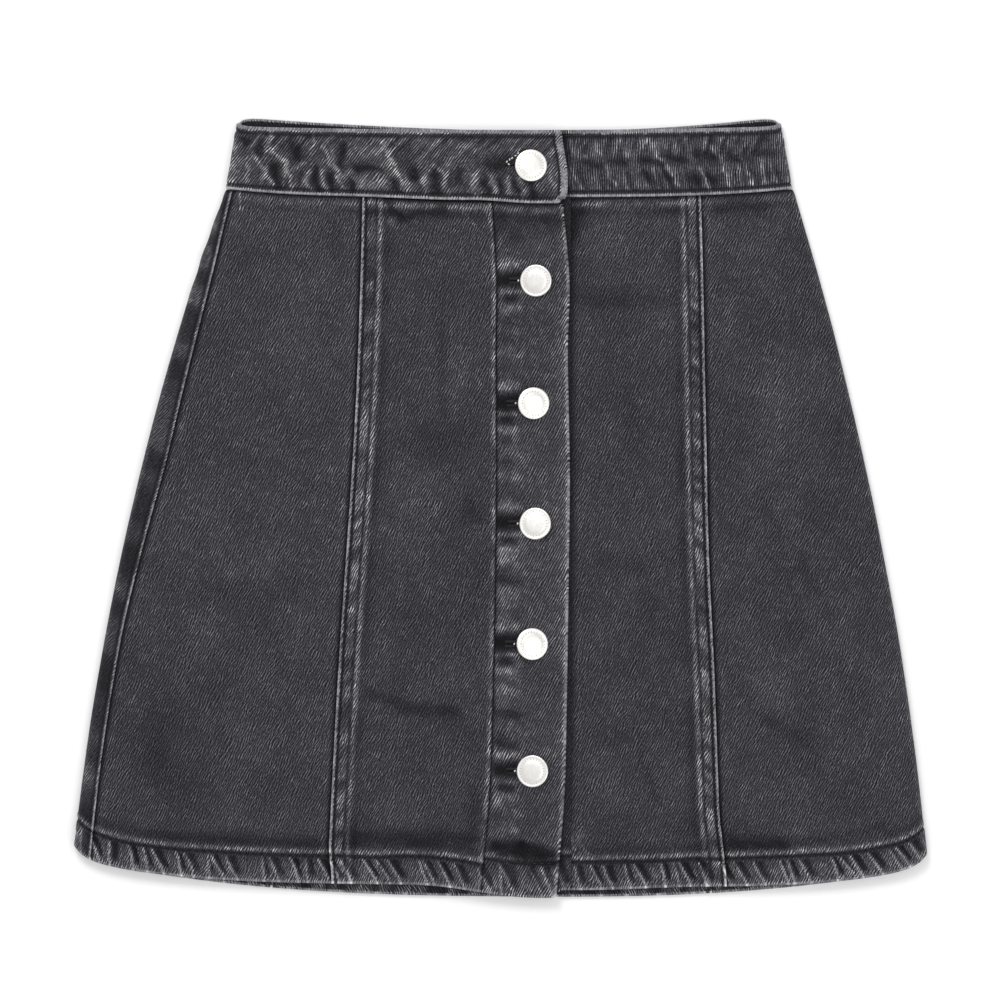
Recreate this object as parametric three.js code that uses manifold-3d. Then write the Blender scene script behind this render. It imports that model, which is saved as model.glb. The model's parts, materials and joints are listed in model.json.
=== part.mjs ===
// A denim a-line mini skirt, buttoned all the way up the front, lying flat on its back.
//
// Millimetres. X runs across the skirt, Y from the hem to the waist, and Z up from the surface
// that the skirt lies on. The origin is the middle of the skirt's box, on that surface. Left and
// right are as seen from above: left is -X, which is the wearer's right side.
//
// The skirt is a flattened tube. A cross-section of it is a row: its flat back lies on the
// surface, it turns up round a fold at each side, and its front lies above. Every cloth piece
// is a wall through a list of rows, between two seams. The columns of a wall go round the tube
// one way: along the front to the right, round the right fold, along the back to the left, and
// round the left fold.
import * as THREE from "three";
import { mergeVertices } from "three/addons/utils/BufferGeometryUtils.js";
import Module from "manifold-3d";

const wasm = await Module();
wasm.setup();

// ---- Driving dimensions -------------------------------------------------------------------

const GAP = 0.3; // between pieces, at a seam and where one lies on another

const CLOTH = 1.1; // wall of a single layer of denim
const STRIP = 2.0; // wall of the two pressed layers of a button strip
const BAND = 2.2; // wall of the folded waistband
const HEM = 2.4; // wall of the turned and stitched hem

const WAIST_HALF = 164.9; // half the width across the panels at the waist seam
const HEM_HALF = 247.4; // half the width across at the hem
const FLARE = 1.53; // how much of the flare comes early: 1 is a straight-sided a-line
const WAIST_SHIFT = 5; // how far the waist's middle lies to the right of the hem's middle

const WAIST_Y = 180.7; // the waist seam at the middle
const WAIST_LIFT = 4.8; // how much higher the waist seam is at the sides
const FRONT_HEM_Y = -218.6; // the front hem at the middle
const FRONT_HEM_LIFT = 13.7; // how much the front hem rises towards the sides
const BACK_HEM_Y = -225.4; // the back hem at the middle, which shows below the front
const BACK_HEM_LIFT = 19.5;
const HEM_SIDE_Y = -198.5; // where both meet at the side folds
const HEM_TILT = 2.4; // how much lower the hem is at the right side, and higher at the left
const HEM_DEPTH = 16; // from the hem's edge up to its stitching

const BAND_HALF = 164.5; // half the width across the waistband's lower edge
const BAND_TAPER = 6.5; // how much narrower each half of its upper edge is
const BAND_SHIFT = 4.8; // how far the waistband's middle lies to the right
const FRONT_TOP_Y = 219.6; // the upper edge of the front of the waistband, at the middle
const FRONT_TOP_LIFT = 2;
const BACK_TOP_Y = 219.5; // the upper edge of the back of the waistband, at the middle
const BACK_TOP_LIFT = 8.1;
const BACK_TOP_SWAY = 0.8; // how much it swings up left of the middle, and down right of it
const TOP_SIDE_Y = 223.6; // where both meet at the side folds

const SIDE_FOLD = 6.0; // height of the fold at each side
const HEM_FOLD = 6.4; // and at the hem
const BAND_FOLD = 7.0; // and at the waistband
const FRONT_SAG = 0.5; // how far a front panel sinks between its edges

const TACK_DISC = 0.5; // thickness of the disc of a tack
const STRIP_TOP = CLOTH + GAP + TACK_DISC + GAP + STRIP + GAP + STRIP; // top of the overlap
const STRIP_TOP_WAIST = 7.2;
const STRIP_TOP_HEM = HEM + GAP + HEM + GAP + HEM;
const LEFT_SEAM_TOP = 6.2; // top of the left panel where the button placket is sewn to it
const BAND_UNDER_TOP = BAND + GAP + TACK_DISC + GAP + BAND; // top of the waistband's lower end
const BAND_TAB_TOP = BAND_UNDER_TOP + GAP + BAND; // top of the tab that laps over it

const TAB_END = 37.5; // x of the end of the waistband's tab
const BAND_UNDER_END = -3; // x of the waistband's lower end, hidden under the tab
const WAIST_DIP = 1.9; // how far the left front hangs below the waist seam's line
const TAB_DIP = 2.0; // and how much further the tab does
const UNDERLAP_SEAM = 41; // x of the seam that joins the underlap to the right panel
const UNDERLAP_EDGE = -2; // x of the underlap's free edge

const BUTTON_RADIUS = 9.3;
const BUTTON_HEIGHT = 3.2; // of the head, from its underside to the top of its dome
const SHANK_RADIUS = 3.0;
const BORE_RADIUS = 1.5; // the hollow of the shank, which takes the tack's nail
const NAIL_RADIUS = 1.2;
const TACK_RADIUS = 4.6;
const HOLE_LENGTH = 15; // from the button's middle to the far end of its buttonhole
const SLIT_HALF = 0.5; // half the width of the slit there

// Fractions of the way from the waist seam to the hem at which a panel has a section. The two
// close together are the step where the turned hem begins.
const HEM_START = 1 - HEM_DEPTH / (WAIST_Y - FRONT_HEM_Y);
const LEVELS = [0, 0.04, 0.09, 0.2, 0.32, 0.44, 0.56, 0.68, 0.8, 0.9, HEM_START, HEM_START + 0.004, 1];

// x of the edges of the button placket, and how far the side seams are in from the folds, by the
// fraction of the way down.
const EDGES = [
  { down: 0, left: -4.6, right: 36.3, sideInset: 4.6 },
  { down: 0.12, left: -1.6, right: 40.8, sideInset: 9.0 },
  { down: 0.2, left: -2.4, right: 38.8, sideInset: 10.6 },
  { down: 0.4, left: -2.0, right: 40.4, sideInset: 13.0 },
  { down: 0.65, left: -3.4, right: 39.0, sideInset: 9.0 },
  { down: 0.85, left: -5.6, right: 37.6, sideInset: 9.0 },
  { down: 1, left: -11.4, right: 32.4, sideInset: 9.6 },
];

// The button heads, by x and by y.
const BUTTONS = [
  { x: 17.6, y: 198.7 },
  { x: 20.6, y: 132.1 },
  { x: 19.1, y: 61.0 },
  { x: 20.2, y: -8.8 },
  { x: 18.3, y: -78.6 },
  { x: 18.6, y: -152.3 },
];

// ---- Materials ----------------------------------------------------------------------------

const DENIM = { color: 0x3e3d42, roughness: 0.95, metalness: 0 };
const BAND_DENIM = { color: 0x48474b, roughness: 0.95, metalness: 0 };
const SILVER = { color: 0xe8e6e2, roughness: 0.35, metalness: 1 };

// ---- Small helpers ------------------------------------------------------------------------

const lerp = THREE.MathUtils.lerp;
const ease = (u) => THREE.MathUtils.smoothstep(u, 0, 1);

// A smooth hump of height 1 at 0, which ends at -1 and 1.
function hump(u) {
  return Math.abs(u) < 1 ? Math.cos((u * Math.PI) / 2) ** 2 : 0;
}

// y along a hem or an upper edge at s: it rises by lift towards the sides, and turns a round corner
// to reach sideY at each fold.
function edgeY(s, middleY, lift, power, sideY) {
  const corner = sideY - middleY - lift;
  return middleY + lift * Math.abs(s) ** power + corner * Math.abs(s) ** 40;
}

// A column of the EDGES table at a fraction of the way down.
function edgeAt(down, column) {
  const next = Math.max(1, EDGES.findIndex((row) => row.down >= down));
  const a = EDGES[next - 1];
  const b = EDGES[next];
  return lerp(a[column], b[column], (down - a.down) / (b.down - a.down));
}

// count values from a to b, both included.
function spread(a, b, count) {
  return Array.from({ length: count }, (_, i) => lerp(a, b, i / (count - 1)));
}

// ---- The rows -----------------------------------------------------------------------------
// A row holds how far down it is, the half width and middle of its section, the height of its
// side folds, the y of its front and back at s, which is -1 at the left fold and 1 at the right
// one, and its wall. leftTop and rightTop are the heights of the front where it meets the button
// strips, and leftFlat and rightFlat are the x from which it keeps them.

function panelRow(down) {
  const half = WAIST_HALF + (HEM_HALF - WAIST_HALF) * (FLARE * down - (FLARE - 1) * down ** 2);
  const inHem = down > HEM_START;
  const toHem = ease((down - HEM_START + 0.06) / 0.06);
  const toWaist = 1 - ease(down / 0.08);
  const waistY = (s) => WAIST_Y - GAP + WAIST_LIFT * s ** 4;
  const frontHemY = (s) => edgeY(s, FRONT_HEM_Y, FRONT_HEM_LIFT, 5, HEM_SIDE_Y) - HEM_TILT * s;
  const backHemY = (s) => edgeY(s, BACK_HEM_Y, BACK_HEM_LIFT, 2.6, HEM_SIDE_Y) - HEM_TILT * s;
  const stripTop = lerp(lerp(STRIP_TOP, STRIP_TOP_WAIST, toWaist), STRIP_TOP_HEM, toHem);
  const strip = inHem ? HEM : STRIP;
  return {
    down,
    half,
    middle: WAIST_SHIFT * (1 - down) ** 1.75,
    fold: lerp(SIDE_FOLD, HEM_FOLD, toHem),
    frontY: (s) => lerp(waistY(s), frontHemY(s), down),
    backY: (s) => lerp(waistY(s), backHemY(s), down),
    wall: inHem ? HEM : CLOTH,
    strip,
    stripTop,
    leftTop: lerp(LEFT_SEAM_TOP, STRIP_TOP_HEM - GAP, toHem),
    rightTop: lerp(stripTop - STRIP - GAP, HEM + GAP + HEM, toHem),
    leftFlat: edgeAt(down, "left"),
    rightFlat: UNDERLAP_SEAM,
    placketRight: edgeAt(down, "right"),
  };
}

function bandRow(up) {
  const lowerY = (s) => WAIST_Y + WAIST_LIFT * s ** 4;
  const frontTopY = (s) => edgeY(s, FRONT_TOP_Y, FRONT_TOP_LIFT, 2, TOP_SIDE_Y);
  const sway = (s) => BACK_TOP_SWAY * Math.sin(Math.PI * s);
  const backTopY = (s) => edgeY(s, BACK_TOP_Y, BACK_TOP_LIFT, 2, TOP_SIDE_Y) - sway(s);
  return {
    down: -up,
    half: BAND_HALF - BAND_TAPER * up,
    middle: BAND_SHIFT,
    fold: BAND_FOLD,
    frontY: (s) => lerp(lowerY(s), frontTopY(s), up),
    backY: (s) => lerp(lowerY(s), backTopY(s), up),
    wall: BAND,
    leftTop: BAND_TAB_TOP,
    rightTop: BAND_UNDER_TOP,
    leftFlat: EDGES[0].left,
    rightFlat: UNDERLAP_SEAM,
  };
}

// The waist of the left front hangs a little, most of all under the tab, and by less and less
// away from the seam.
function waistDrop(row, x) {
  const dip = WAIST_DIP * ease((x + 90) / 70) + TAB_DIP * ease((x + 16) / 36);
  return dip * (1 - Math.abs(row.down));
}

// The hem hangs lower at the button strips, which are long and heavy, on the left front more
// than on the right one.
function leftHemDrop(row, x) {
  return Math.max(0, row.down) ** 3 * 7 * hump((x - 22) / 75);
}

function rightHemDrop(row, x) {
  return Math.max(0, row.down) ** 3 * 2.5 * hump((x - 40) / 80);
}

// ---- Places on a row ----------------------------------------------------------------------
// Each gives a point of the outer face and the direction out of the cloth there.

function onBack(row, x) {
  const s = (x - row.middle) / row.half;
  return { point: new THREE.Vector3(x, row.backY(s), 0), out: new THREE.Vector3(0, 0, -1) };
}

// side is -1 at the left fold and 1 at the right, and turn goes from -90 under it to 90 on top.
function onFold(row, side, turn) {
  const radius = row.fold / 2;
  const angle = THREE.MathUtils.degToRad(turn);
  const out = new THREE.Vector3(side * Math.cos(angle), 0, Math.sin(angle));
  const centre = new THREE.Vector3(row.middle + side * (row.half - radius), 0, radius);
  const point = centre.addScaledVector(out, radius);
  const s = (point.x - row.middle) / row.half;
  point.y = lerp(row.backY(s), row.frontY(s), ease((turn + 90) / 180));
  return { point, out };
}

function onLeftFront(row, x) {
  const start = row.middle - row.half + row.fold / 2;
  const u = THREE.MathUtils.clamp((x - start) / (row.leftFlat - start), 0, 1);
  const z = lerp(row.fold, row.leftTop, ease(u)) - FRONT_SAG * Math.sin(Math.PI * u);
  const drop = waistDrop(row, x) + leftHemDrop(row, x);
  const y = row.frontY((x - row.middle) / row.half) - drop;
  return { point: new THREE.Vector3(x, y, z), out: new THREE.Vector3(0, 0, 1) };
}

function onRightFront(row, x) {
  const end = row.middle + row.half - row.fold / 2;
  const u = THREE.MathUtils.clamp((x - row.rightFlat) / (end - row.rightFlat), 0, 1);
  const z = lerp(row.rightTop, row.fold, ease(u));
  const y = row.frontY((x - row.middle) / row.half) - rightHemDrop(row, x);
  return { point: new THREE.Vector3(x, y, z), out: new THREE.Vector3(0, 0, 1) };
}

// The button strips lie flat. The underlap is one strip and a gap lower than the placket, and
// its hem follows the placket's where the placket covers it.
function onPlacket(row, x) {
  const place = onLeftFront(row, x);
  place.point.z = row.stripTop;
  return place;
}

function onUnderlap(row, x) {
  const place = onRightFront(row, x);
  const uncovered = ease((x - row.placketRight + 4) / 8);
  place.point.y -= (leftHemDrop(row, x) - rightHemDrop(row, x)) * (1 - uncovered);
  place.point.z = row.stripTop - row.strip - GAP;
  return place;
}

// x where a row's flat back or front ends and its fold begins.
function foldX(row, side) {
  return row.middle + side * (row.half - row.fold / 2);
}

// ---- Seams, by the row --------------------------------------------------------------------

const seam = {
  leftPrincess: ({ down }) =>
    -80.3 - 20 * down ** 1.4 - 2 * hump((down - 0.7) / 0.45) + 2.6 * ease((down - 0.94) / 0.06),
  rightPrincess: ({ down }) =>
    114.5 + 14 * down + 1.8 * hump(down / 0.42) - 0.8 * hump((down - 0.52) / 0.2) +
    2.8 * ease((down - 0.88) / 0.12),
  backLeft: (row) => -84 - 50 * row.down,
  backRight: (row) => 88 + 35 * row.down,
  placketLeft: (row) => edgeAt(row.down, "left"),
  // The left side seam comes round onto the front, and the right one goes round onto the back.
  leftSide: (row) => row.middle - row.half + edgeAt(row.down, "sideInset"),
  rightSide: (row) => row.middle + row.half - edgeAt(row.down, "sideInset"),
};

// ---- Walls --------------------------------------------------------------------------------

const FOLD_TURNS = [-60, -30, 0, 30, 60];

// A closed wall through a grid of places: rows from the waist down, columns round the tube.
function wallGeometry(grid, thickness) {
  const rows = grid.length;
  const columns = grid[0].length;
  const positions = [];
  grid.forEach((places) => places.forEach(({ point }) => positions.push(...point)));
  grid.forEach((places, i) =>
    places.forEach(({ point, out }) =>
      positions.push(...point.clone().addScaledVector(out, -thickness[i])),
    ),
  );
  const outer = (i, j) => i * columns + j;
  const inner = (i, j) => rows * columns + i * columns + j;
  const index = [];
  const quad = (a, b, c, d) => index.push(a, b, c, a, c, d);
  for (let i = 0; i < rows - 1; i++) {
    for (let j = 0; j < columns - 1; j++) {
      quad(outer(i, j), outer(i + 1, j), outer(i + 1, j + 1), outer(i, j + 1));
      quad(inner(i, j), inner(i, j + 1), inner(i + 1, j + 1), inner(i + 1, j));
    }
    const last = columns - 1;
    quad(outer(i, 0), inner(i, 0), inner(i + 1, 0), outer(i + 1, 0));
    quad(outer(i, last), outer(i + 1, last), inner(i + 1, last), inner(i, last));
  }
  for (let j = 0; j < columns - 1; j++) {
    const last = rows - 1;
    quad(outer(0, j), outer(0, j + 1), inner(0, j + 1), inner(0, j));
    quad(outer(last, j), inner(last, j), inner(last, j + 1), outer(last, j + 1));
  }
  const geometry = new THREE.BufferGeometry();
  geometry.setAttribute("position", new THREE.Float32BufferAttribute(positions, 3));
  geometry.setIndex(index);
  return geometry;
}

// A panel between two seams: places(row) lists its places on a row, left seam first.
function panelGeometry(places, wallOf = (row) => row.wall) {
  const rows = LEVELS.map(panelRow);
  return wallGeometry(rows.map(places), rows.map(wallOf));
}

const HALF_GAP = GAP / 2;

const panels = {
  front_side_left: (row) =>
    spread(seam.leftSide(row) + HALF_GAP, seam.leftPrincess(row) - HALF_GAP, 8).map((x) =>
      onLeftFront(row, x),
    ),
  front_centre_left: (row) =>
    spread(seam.leftPrincess(row) + HALF_GAP, seam.placketLeft(row) - HALF_GAP, 7).map((x) =>
      onLeftFront(row, x),
    ),
  front_centre_right: (row) =>
    spread(UNDERLAP_SEAM + HALF_GAP, seam.rightPrincess(row) - HALF_GAP, 7).map((x) =>
      onRightFront(row, x),
    ),
  front_side_right: (row) => [
    ...spread(seam.rightPrincess(row) + HALF_GAP, foldX(row, 1), 7).map((x) =>
      onRightFront(row, x),
    ),
    ...FOLD_TURNS.map((turn) => onFold(row, 1, -turn)),
    ...spread(foldX(row, 1), seam.rightSide(row) + HALF_GAP, 2).map((x) => onBack(row, x)),
  ],
  back_side_right: (row) =>
    spread(seam.rightSide(row) - HALF_GAP, seam.backRight(row) + HALF_GAP, 7).map((x) =>
      onBack(row, x),
    ),
  back_centre: (row) =>
    spread(seam.backRight(row) - HALF_GAP, seam.backLeft(row) + HALF_GAP, 9).map((x) =>
      onBack(row, x),
    ),
  back_side_left: (row) => [
    ...spread(seam.backLeft(row) - HALF_GAP, foldX(row, -1), 7).map((x) => onBack(row, x)),
    ...FOLD_TURNS.map((turn) => onFold(row, -1, turn)),
    ...spread(foldX(row, -1), seam.leftSide(row) - HALF_GAP, 2).map((x) => onLeftFront(row, x)),
  ],
};

function placketGeometry() {
  const places = (row) =>
    spread(seam.placketLeft(row) + HALF_GAP, row.placketRight, 9).map((x) =>
      onPlacket(row, x),
    );
  return panelGeometry(places, (row) => row.strip);
}

function underlapGeometry() {
  const places = (row) =>
    spread(UNDERLAP_EDGE, UNDERLAP_SEAM - HALF_GAP, 5).map((x) => onUnderlap(row, x));
  return panelGeometry(places, (row) => row.strip);
}

function waistbandGeometry() {
  const rows = [1, 0.5, 0].map(bandRow);
  const places = (row) => [
    ...spread(BAND_UNDER_END, UNDERLAP_SEAM, 4).map((x) => onRightFront(row, x)),
    ...spread(UNDERLAP_SEAM, foldX(row, 1), 9).slice(1).map((x) => onRightFront(row, x)),
    ...FOLD_TURNS.map((turn) => onFold(row, 1, -turn)),
    ...spread(foldX(row, 1), foldX(row, -1), 17).map((x) => onBack(row, x)),
    ...FOLD_TURNS.map((turn) => onFold(row, -1, turn)),
    ...spread(foldX(row, -1), row.leftFlat, 10).map((x) => onLeftFront(row, x)),
    ...spread(row.leftFlat, TAB_END, 9).slice(1).map((x) => onLeftFront(row, x)),
  ];
  return wallGeometry(rows.map(places), rows.map((row) => row.wall));
}

// ---- Buttons and tacks --------------------------------------------------------------------

// The row that a button is on: the middle of the waistband, or a row of the panels.
function rowAtButton({ y }) {
  return y > WAIST_Y ? bandRow(0.5) : panelRow((WAIST_Y - y) / (WAIST_Y - FRONT_HEM_Y));
}

// The heights that a button's parts are set from: the tops of the two layers that it joins.
function layersAt(button) {
  const row = rowAtButton(button);
  const onBand = row.down < 0;
  const lowerWall = onBand ? BAND : STRIP;
  const lowerTop = onBand ? BAND_UNDER_TOP : row.stripTop - GAP - STRIP;
  const upperTop = lowerTop + GAP + lowerWall;
  return { lowerTop, upperTop, lowerBottom: lowerTop - lowerWall };
}

// A head with a rolled rim and a shallow dome on a hollow shank.
function buttonGeometry({ lowerTop, upperTop }) {
  const underside = upperTop + GAP;
  const shankBottom = lowerTop + GAP;
  const rim = 1.3; // height of the rim's edge above the head's underside
  const dome = spread(0, 1, 5).map((u) => {
    const radius = (BUTTON_RADIUS - 0.8) * (1 - u);
    const height = underside + lerp(rim + 0.7, BUTTON_HEIGHT, 1 - (1 - u) ** 2);
    return new THREE.Vector2(radius, height);
  });
  const profile = [
    new THREE.Vector2(0, underside + 0.5),
    new THREE.Vector2(BORE_RADIUS, underside + 0.5),
    new THREE.Vector2(BORE_RADIUS, shankBottom),
    new THREE.Vector2(SHANK_RADIUS, shankBottom),
    new THREE.Vector2(SHANK_RADIUS, underside),
    new THREE.Vector2(BUTTON_RADIUS - 0.7, underside),
    new THREE.Vector2(BUTTON_RADIUS, underside + 0.6),
    new THREE.Vector2(BUTTON_RADIUS, underside + rim),
    ...dome,
  ];
  return latheZ(profile, 20);
}

// A disc behind the lower layer, with a nail up through it into the shank.
function tackGeometry({ lowerBottom, upperTop }) {
  const discTop = lowerBottom - GAP;
  const profile = [
    new THREE.Vector2(0, discTop - TACK_DISC),
    new THREE.Vector2(TACK_RADIUS - 0.2, discTop - TACK_DISC),
    new THREE.Vector2(TACK_RADIUS, discTop - TACK_DISC / 2),
    new THREE.Vector2(TACK_RADIUS, discTop),
    new THREE.Vector2(NAIL_RADIUS, discTop),
    new THREE.Vector2(NAIL_RADIUS, upperTop - GAP),
    new THREE.Vector2(0, upperTop + GAP),
  ];
  return latheZ(profile, 12);
}

// A lathe round Z instead of Y.
function latheZ(profile, segments) {
  return new THREE.LatheGeometry(profile, segments).rotateX(Math.PI / 2);
}

// The outline of a buttonhole that a shank holds open: round at the shank, and a slit beyond.
function buttonholeShape() {
  const radius = SHANK_RADIUS + GAP;
  const shape = new THREE.Shape();
  shape.moveTo(-HOLE_LENGTH, -SLIT_HALF);
  shape.lineTo(-radius * 1.6, -SLIT_HALF * 2);
  shape.absarc(0, 0, radius, -Math.PI * 0.75, Math.PI * 0.75, false);
  shape.lineTo(-radius * 1.6, SLIT_HALF * 2);
  shape.lineTo(-HOLE_LENGTH, SLIT_HALF);
  return shape;
}

// ---- Cutting ------------------------------------------------------------------------------

function toSolid(geometry) {
  const bare = geometry.clone();
  bare.deleteAttribute("normal");
  bare.deleteAttribute("uv");
  const merged = mergeVertices(bare, 1e-4);
  return new wasm.Manifold(
    new wasm.Mesh({
      numProp: 3,
      vertProperties: new Float32Array(merged.attributes.position.array),
      triVerts: new Uint32Array(merged.index.array),
    }),
  );
}

function toGeometry(solid) {
  const mesh = solid.getMesh();
  const geometry = new THREE.BufferGeometry();
  geometry.setAttribute("position", new THREE.BufferAttribute(mesh.vertProperties, 3));
  geometry.setIndex(new THREE.BufferAttribute(mesh.triVerts, 1));
  return geometry;
}

// The buttonhole through the upper layer, from the middle of the gap below it.
function buttonholeCutter(button) {
  const { lowerTop, upperTop } = layersAt(button);
  const bottom = lowerTop + HALF_GAP;
  const depth = upperTop + 1 - bottom;
  const options = { depth, bevelEnabled: false, curveSegments: 8 };
  return new THREE.ExtrudeGeometry(buttonholeShape(), options).translate(
    button.x,
    button.y,
    bottom,
  );
}

// The nail's hole through the lower layer, to the middle of the gap above it.
function nailCutter(button) {
  const { lowerTop, lowerBottom } = layersAt(button);
  const top = lowerTop + HALF_GAP;
  const bottom = lowerBottom - HALF_GAP;
  return new THREE.CylinderGeometry(BORE_RADIUS, BORE_RADIUS, top - bottom, 12)
    .rotateX(Math.PI / 2)
    .translate(button.x, button.y, (top + bottom) / 2);
}

function cut(geometry, cutters) {
  const solid = cutters.reduce((left, cutter) => left.subtract(toSolid(cutter)), toSolid(geometry));
  return toGeometry(solid);
}

// ---- The skirt ----------------------------------------------------------------------------

const skirt = new THREE.Group();

function addMesh(parent, name, geometry, finish) {
  const mesh = new THREE.Mesh(geometry, new THREE.MeshStandardMaterial(finish));
  mesh.name = name;
  parent.add(mesh);
  return mesh;
}

const [waistButton, ...frontButtons] = BUTTONS;

const cloth = new THREE.Group();
skirt.add(cloth);
for (const [name, places] of Object.entries(panels))
  addMesh(cloth, name, panelGeometry(places), DENIM);
addMesh(cloth, "button_placket", cut(placketGeometry(), frontButtons.map(buttonholeCutter)), DENIM);
addMesh(cloth, "button_underlap", cut(underlapGeometry(), frontButtons.map(nailCutter)), DENIM);
const bandCutters = [buttonholeCutter(waistButton), nailCutter(waistButton)];
addMesh(cloth, "waistband", cut(waistbandGeometry(), bandCutters), BAND_DENIM);

const hardware = new THREE.Group();
skirt.add(hardware);
BUTTONS.forEach((button, i) => {
  const layers = layersAt(button);
  const head = addMesh(hardware, `button_${i + 1}`, buttonGeometry(layers), SILVER);
  const tack = addMesh(hardware, `tack_${i + 1}`, tackGeometry(layers), SILVER);
  head.position.set(button.x, button.y, 0);
  tack.position.set(button.x, button.y, 0);
});

export default skirt;
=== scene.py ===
"""A washed black denim a-line skirt, buttoned up the front and laid flat on its back.

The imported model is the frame: it gives every piece its place and size. Here each cloth piece becomes a
thin shell of denim with its folded edges, seams, topstitching, puckers and worn places, and each button
gets its rolled rim and beaded ring. The cloth is worked out in millimetres, and made in metres.

Left and right are as seen from above, with the waist away from the viewer: left is -X.
"""

import json
import math
from types import SimpleNamespace

import bpy
import numpy as np
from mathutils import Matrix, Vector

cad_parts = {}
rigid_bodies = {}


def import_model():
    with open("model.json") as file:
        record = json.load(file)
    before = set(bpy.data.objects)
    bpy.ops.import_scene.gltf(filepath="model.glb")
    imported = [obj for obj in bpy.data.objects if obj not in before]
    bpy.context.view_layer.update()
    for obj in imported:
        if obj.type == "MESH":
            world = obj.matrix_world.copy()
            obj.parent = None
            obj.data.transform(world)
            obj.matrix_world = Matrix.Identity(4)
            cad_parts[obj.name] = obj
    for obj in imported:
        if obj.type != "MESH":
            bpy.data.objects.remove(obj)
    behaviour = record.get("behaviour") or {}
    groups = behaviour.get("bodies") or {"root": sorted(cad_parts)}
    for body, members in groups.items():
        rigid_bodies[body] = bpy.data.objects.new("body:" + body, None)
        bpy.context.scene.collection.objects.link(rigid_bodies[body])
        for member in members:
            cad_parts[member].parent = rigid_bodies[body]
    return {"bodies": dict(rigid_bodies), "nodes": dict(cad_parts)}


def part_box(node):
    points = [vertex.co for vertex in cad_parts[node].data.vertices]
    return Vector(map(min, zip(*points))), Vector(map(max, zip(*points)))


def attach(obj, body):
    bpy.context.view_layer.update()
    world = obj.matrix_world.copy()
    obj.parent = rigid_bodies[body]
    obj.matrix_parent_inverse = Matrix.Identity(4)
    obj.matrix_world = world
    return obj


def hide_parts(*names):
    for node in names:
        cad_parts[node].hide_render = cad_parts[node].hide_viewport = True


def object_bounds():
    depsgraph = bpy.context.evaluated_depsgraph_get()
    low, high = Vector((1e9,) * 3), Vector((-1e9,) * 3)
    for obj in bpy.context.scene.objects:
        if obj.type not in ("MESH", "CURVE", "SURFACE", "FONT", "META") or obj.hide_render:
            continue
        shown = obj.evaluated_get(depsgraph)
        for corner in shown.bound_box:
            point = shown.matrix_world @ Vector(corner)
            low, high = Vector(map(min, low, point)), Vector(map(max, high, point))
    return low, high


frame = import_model()
CAD_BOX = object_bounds()

MM = 0.001

# ---- The cut, in millimetres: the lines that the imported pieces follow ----

GAP = 0.3  # between pieces that meet

# Half widths of the flattened tube, and how far right its middle is at the waist and on the waistband.
WAIST_HALF = 164.9
HEM_HALF = CAD_BOX[1].x / MM
FLARE = 1.53  # of the sides at the waist, against a straight line down to the hem
WAIST_SHIFT = 5.0
BAND_HALF = 164.5
BAND_TAPER = 6.5
BAND_SHIFT = 4.8

# y of each edge at the middle and at the side folds, and how far the edge rises towards them.
WAIST_Y = 180.7
WAIST_LIFT = 4.8
FRONT_HEM_Y = -218.6
FRONT_HEM_LIFT = 13.7
BACK_HEM_Y = -225.4
BACK_HEM_LIFT = 19.5
HEM_SIDE_Y = -198.5
HEM_TILT = 2.4
FRONT_TOP_Y = 219.6
FRONT_TOP_LIFT = 2.0
BACK_TOP_Y = 219.5
BACK_TOP_LIFT = 8.1
BACK_TOP_SWAY = 0.8
TOP_SIDE_Y = 223.6
WAIST_DIP = 1.9  # of the left front, which hangs
TAB_DIP = 2.0  # and of its part under the tab
PLACKET_HANG = 7.0  # of the hem round the placket's foot
HANG_MIDDLE = 22  # x where it hangs lowest
HANG_REACH = 75  # and how far to each side it does

# Heights: of the side folds, and of the cloth's top face on the front.
SIDE_FOLD = 6.0
HEM_FOLD = 6.4
BAND_FOLD = 7.0
FRONT_SAG = 0.5
STRIP = 2.0  # a folded strip's thickness
STRIP_TOP = 6.5
STRIP_TOP_WAIST = 7.2
STRIP_TOP_HEM = 7.8
LEFT_SEAM_TOP = 6.2
RIGHT_SEAM_DROP = 2.7  # from the placket's top down to the right front's, at the hem
BAND_UNDER_TOP = 5.5
BAND_TAB_TOP = 8.0

TAB_END = 37.5  # x of the tab's end
BAND_UNDER_END = -3.0  # and of the waistband's other end, below the tab
UNDERLAP_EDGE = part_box("button_underlap")[0].x / MM
UNDERLAP_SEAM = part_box("button_underlap")[1].x / MM + GAP / 2

# x of the button placket's edges, and how far the side seams are in from the folds, on the way down.
DOWN = [0, 0.12, 0.2, 0.4, 0.65, 0.85, 1]
PLACKET_LEFT = [-4.6, -1.6, -2.4, -2.0, -3.4, -5.6, -11.4]
PLACKET_RIGHT = [36.3, 40.8, 38.8, 40.4, 39.0, 37.6, 32.4]
SIDE_INSET = [4.6, 9.0, 10.6, 13.0, 9.0, 9.0, 9.6]

# ---- How the cloth is made up, in millimetres ----

DENIM = 0.9  # thickness of one layer
FOLD_RADIUS = 1.0  # of a folded edge, out to the cloth's face
HEM_DEPTH = 16.0  # from the hem's edge to its stitching
STRIP_HEM_DEPTH = 20.0  # and on the button strips, whose hems are deeper
FIRST_ROW = 2.1  # from a seam to its first row of topstitching
SECOND_ROW = 8.5  # and to its second
STITCH = 3.3  # length of a stitch
STITCH_GAP = 0.9  # between two stitches
BACK_RELIEF = 0.5  # how much of the relief shows on the back, which lies pressed flat
PEAK = 0.9  # the highest that any crease stands

BUTTONS = [f"button_{number}" for number in range(1, 7)]
TACKS = [f"tack_{number}" for number in range(1, 7)]


def button_centre(name):
    """x and y of a button's middle, in millimetres."""
    low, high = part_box(name)
    return (low.x + high.x) / 2 / MM, (low.y + high.y) / 2 / MM


# ---- Small curves ----


def ease(u):
    u = np.clip(u, 0, 1)
    return u * u * (3 - 2 * u)


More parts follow.
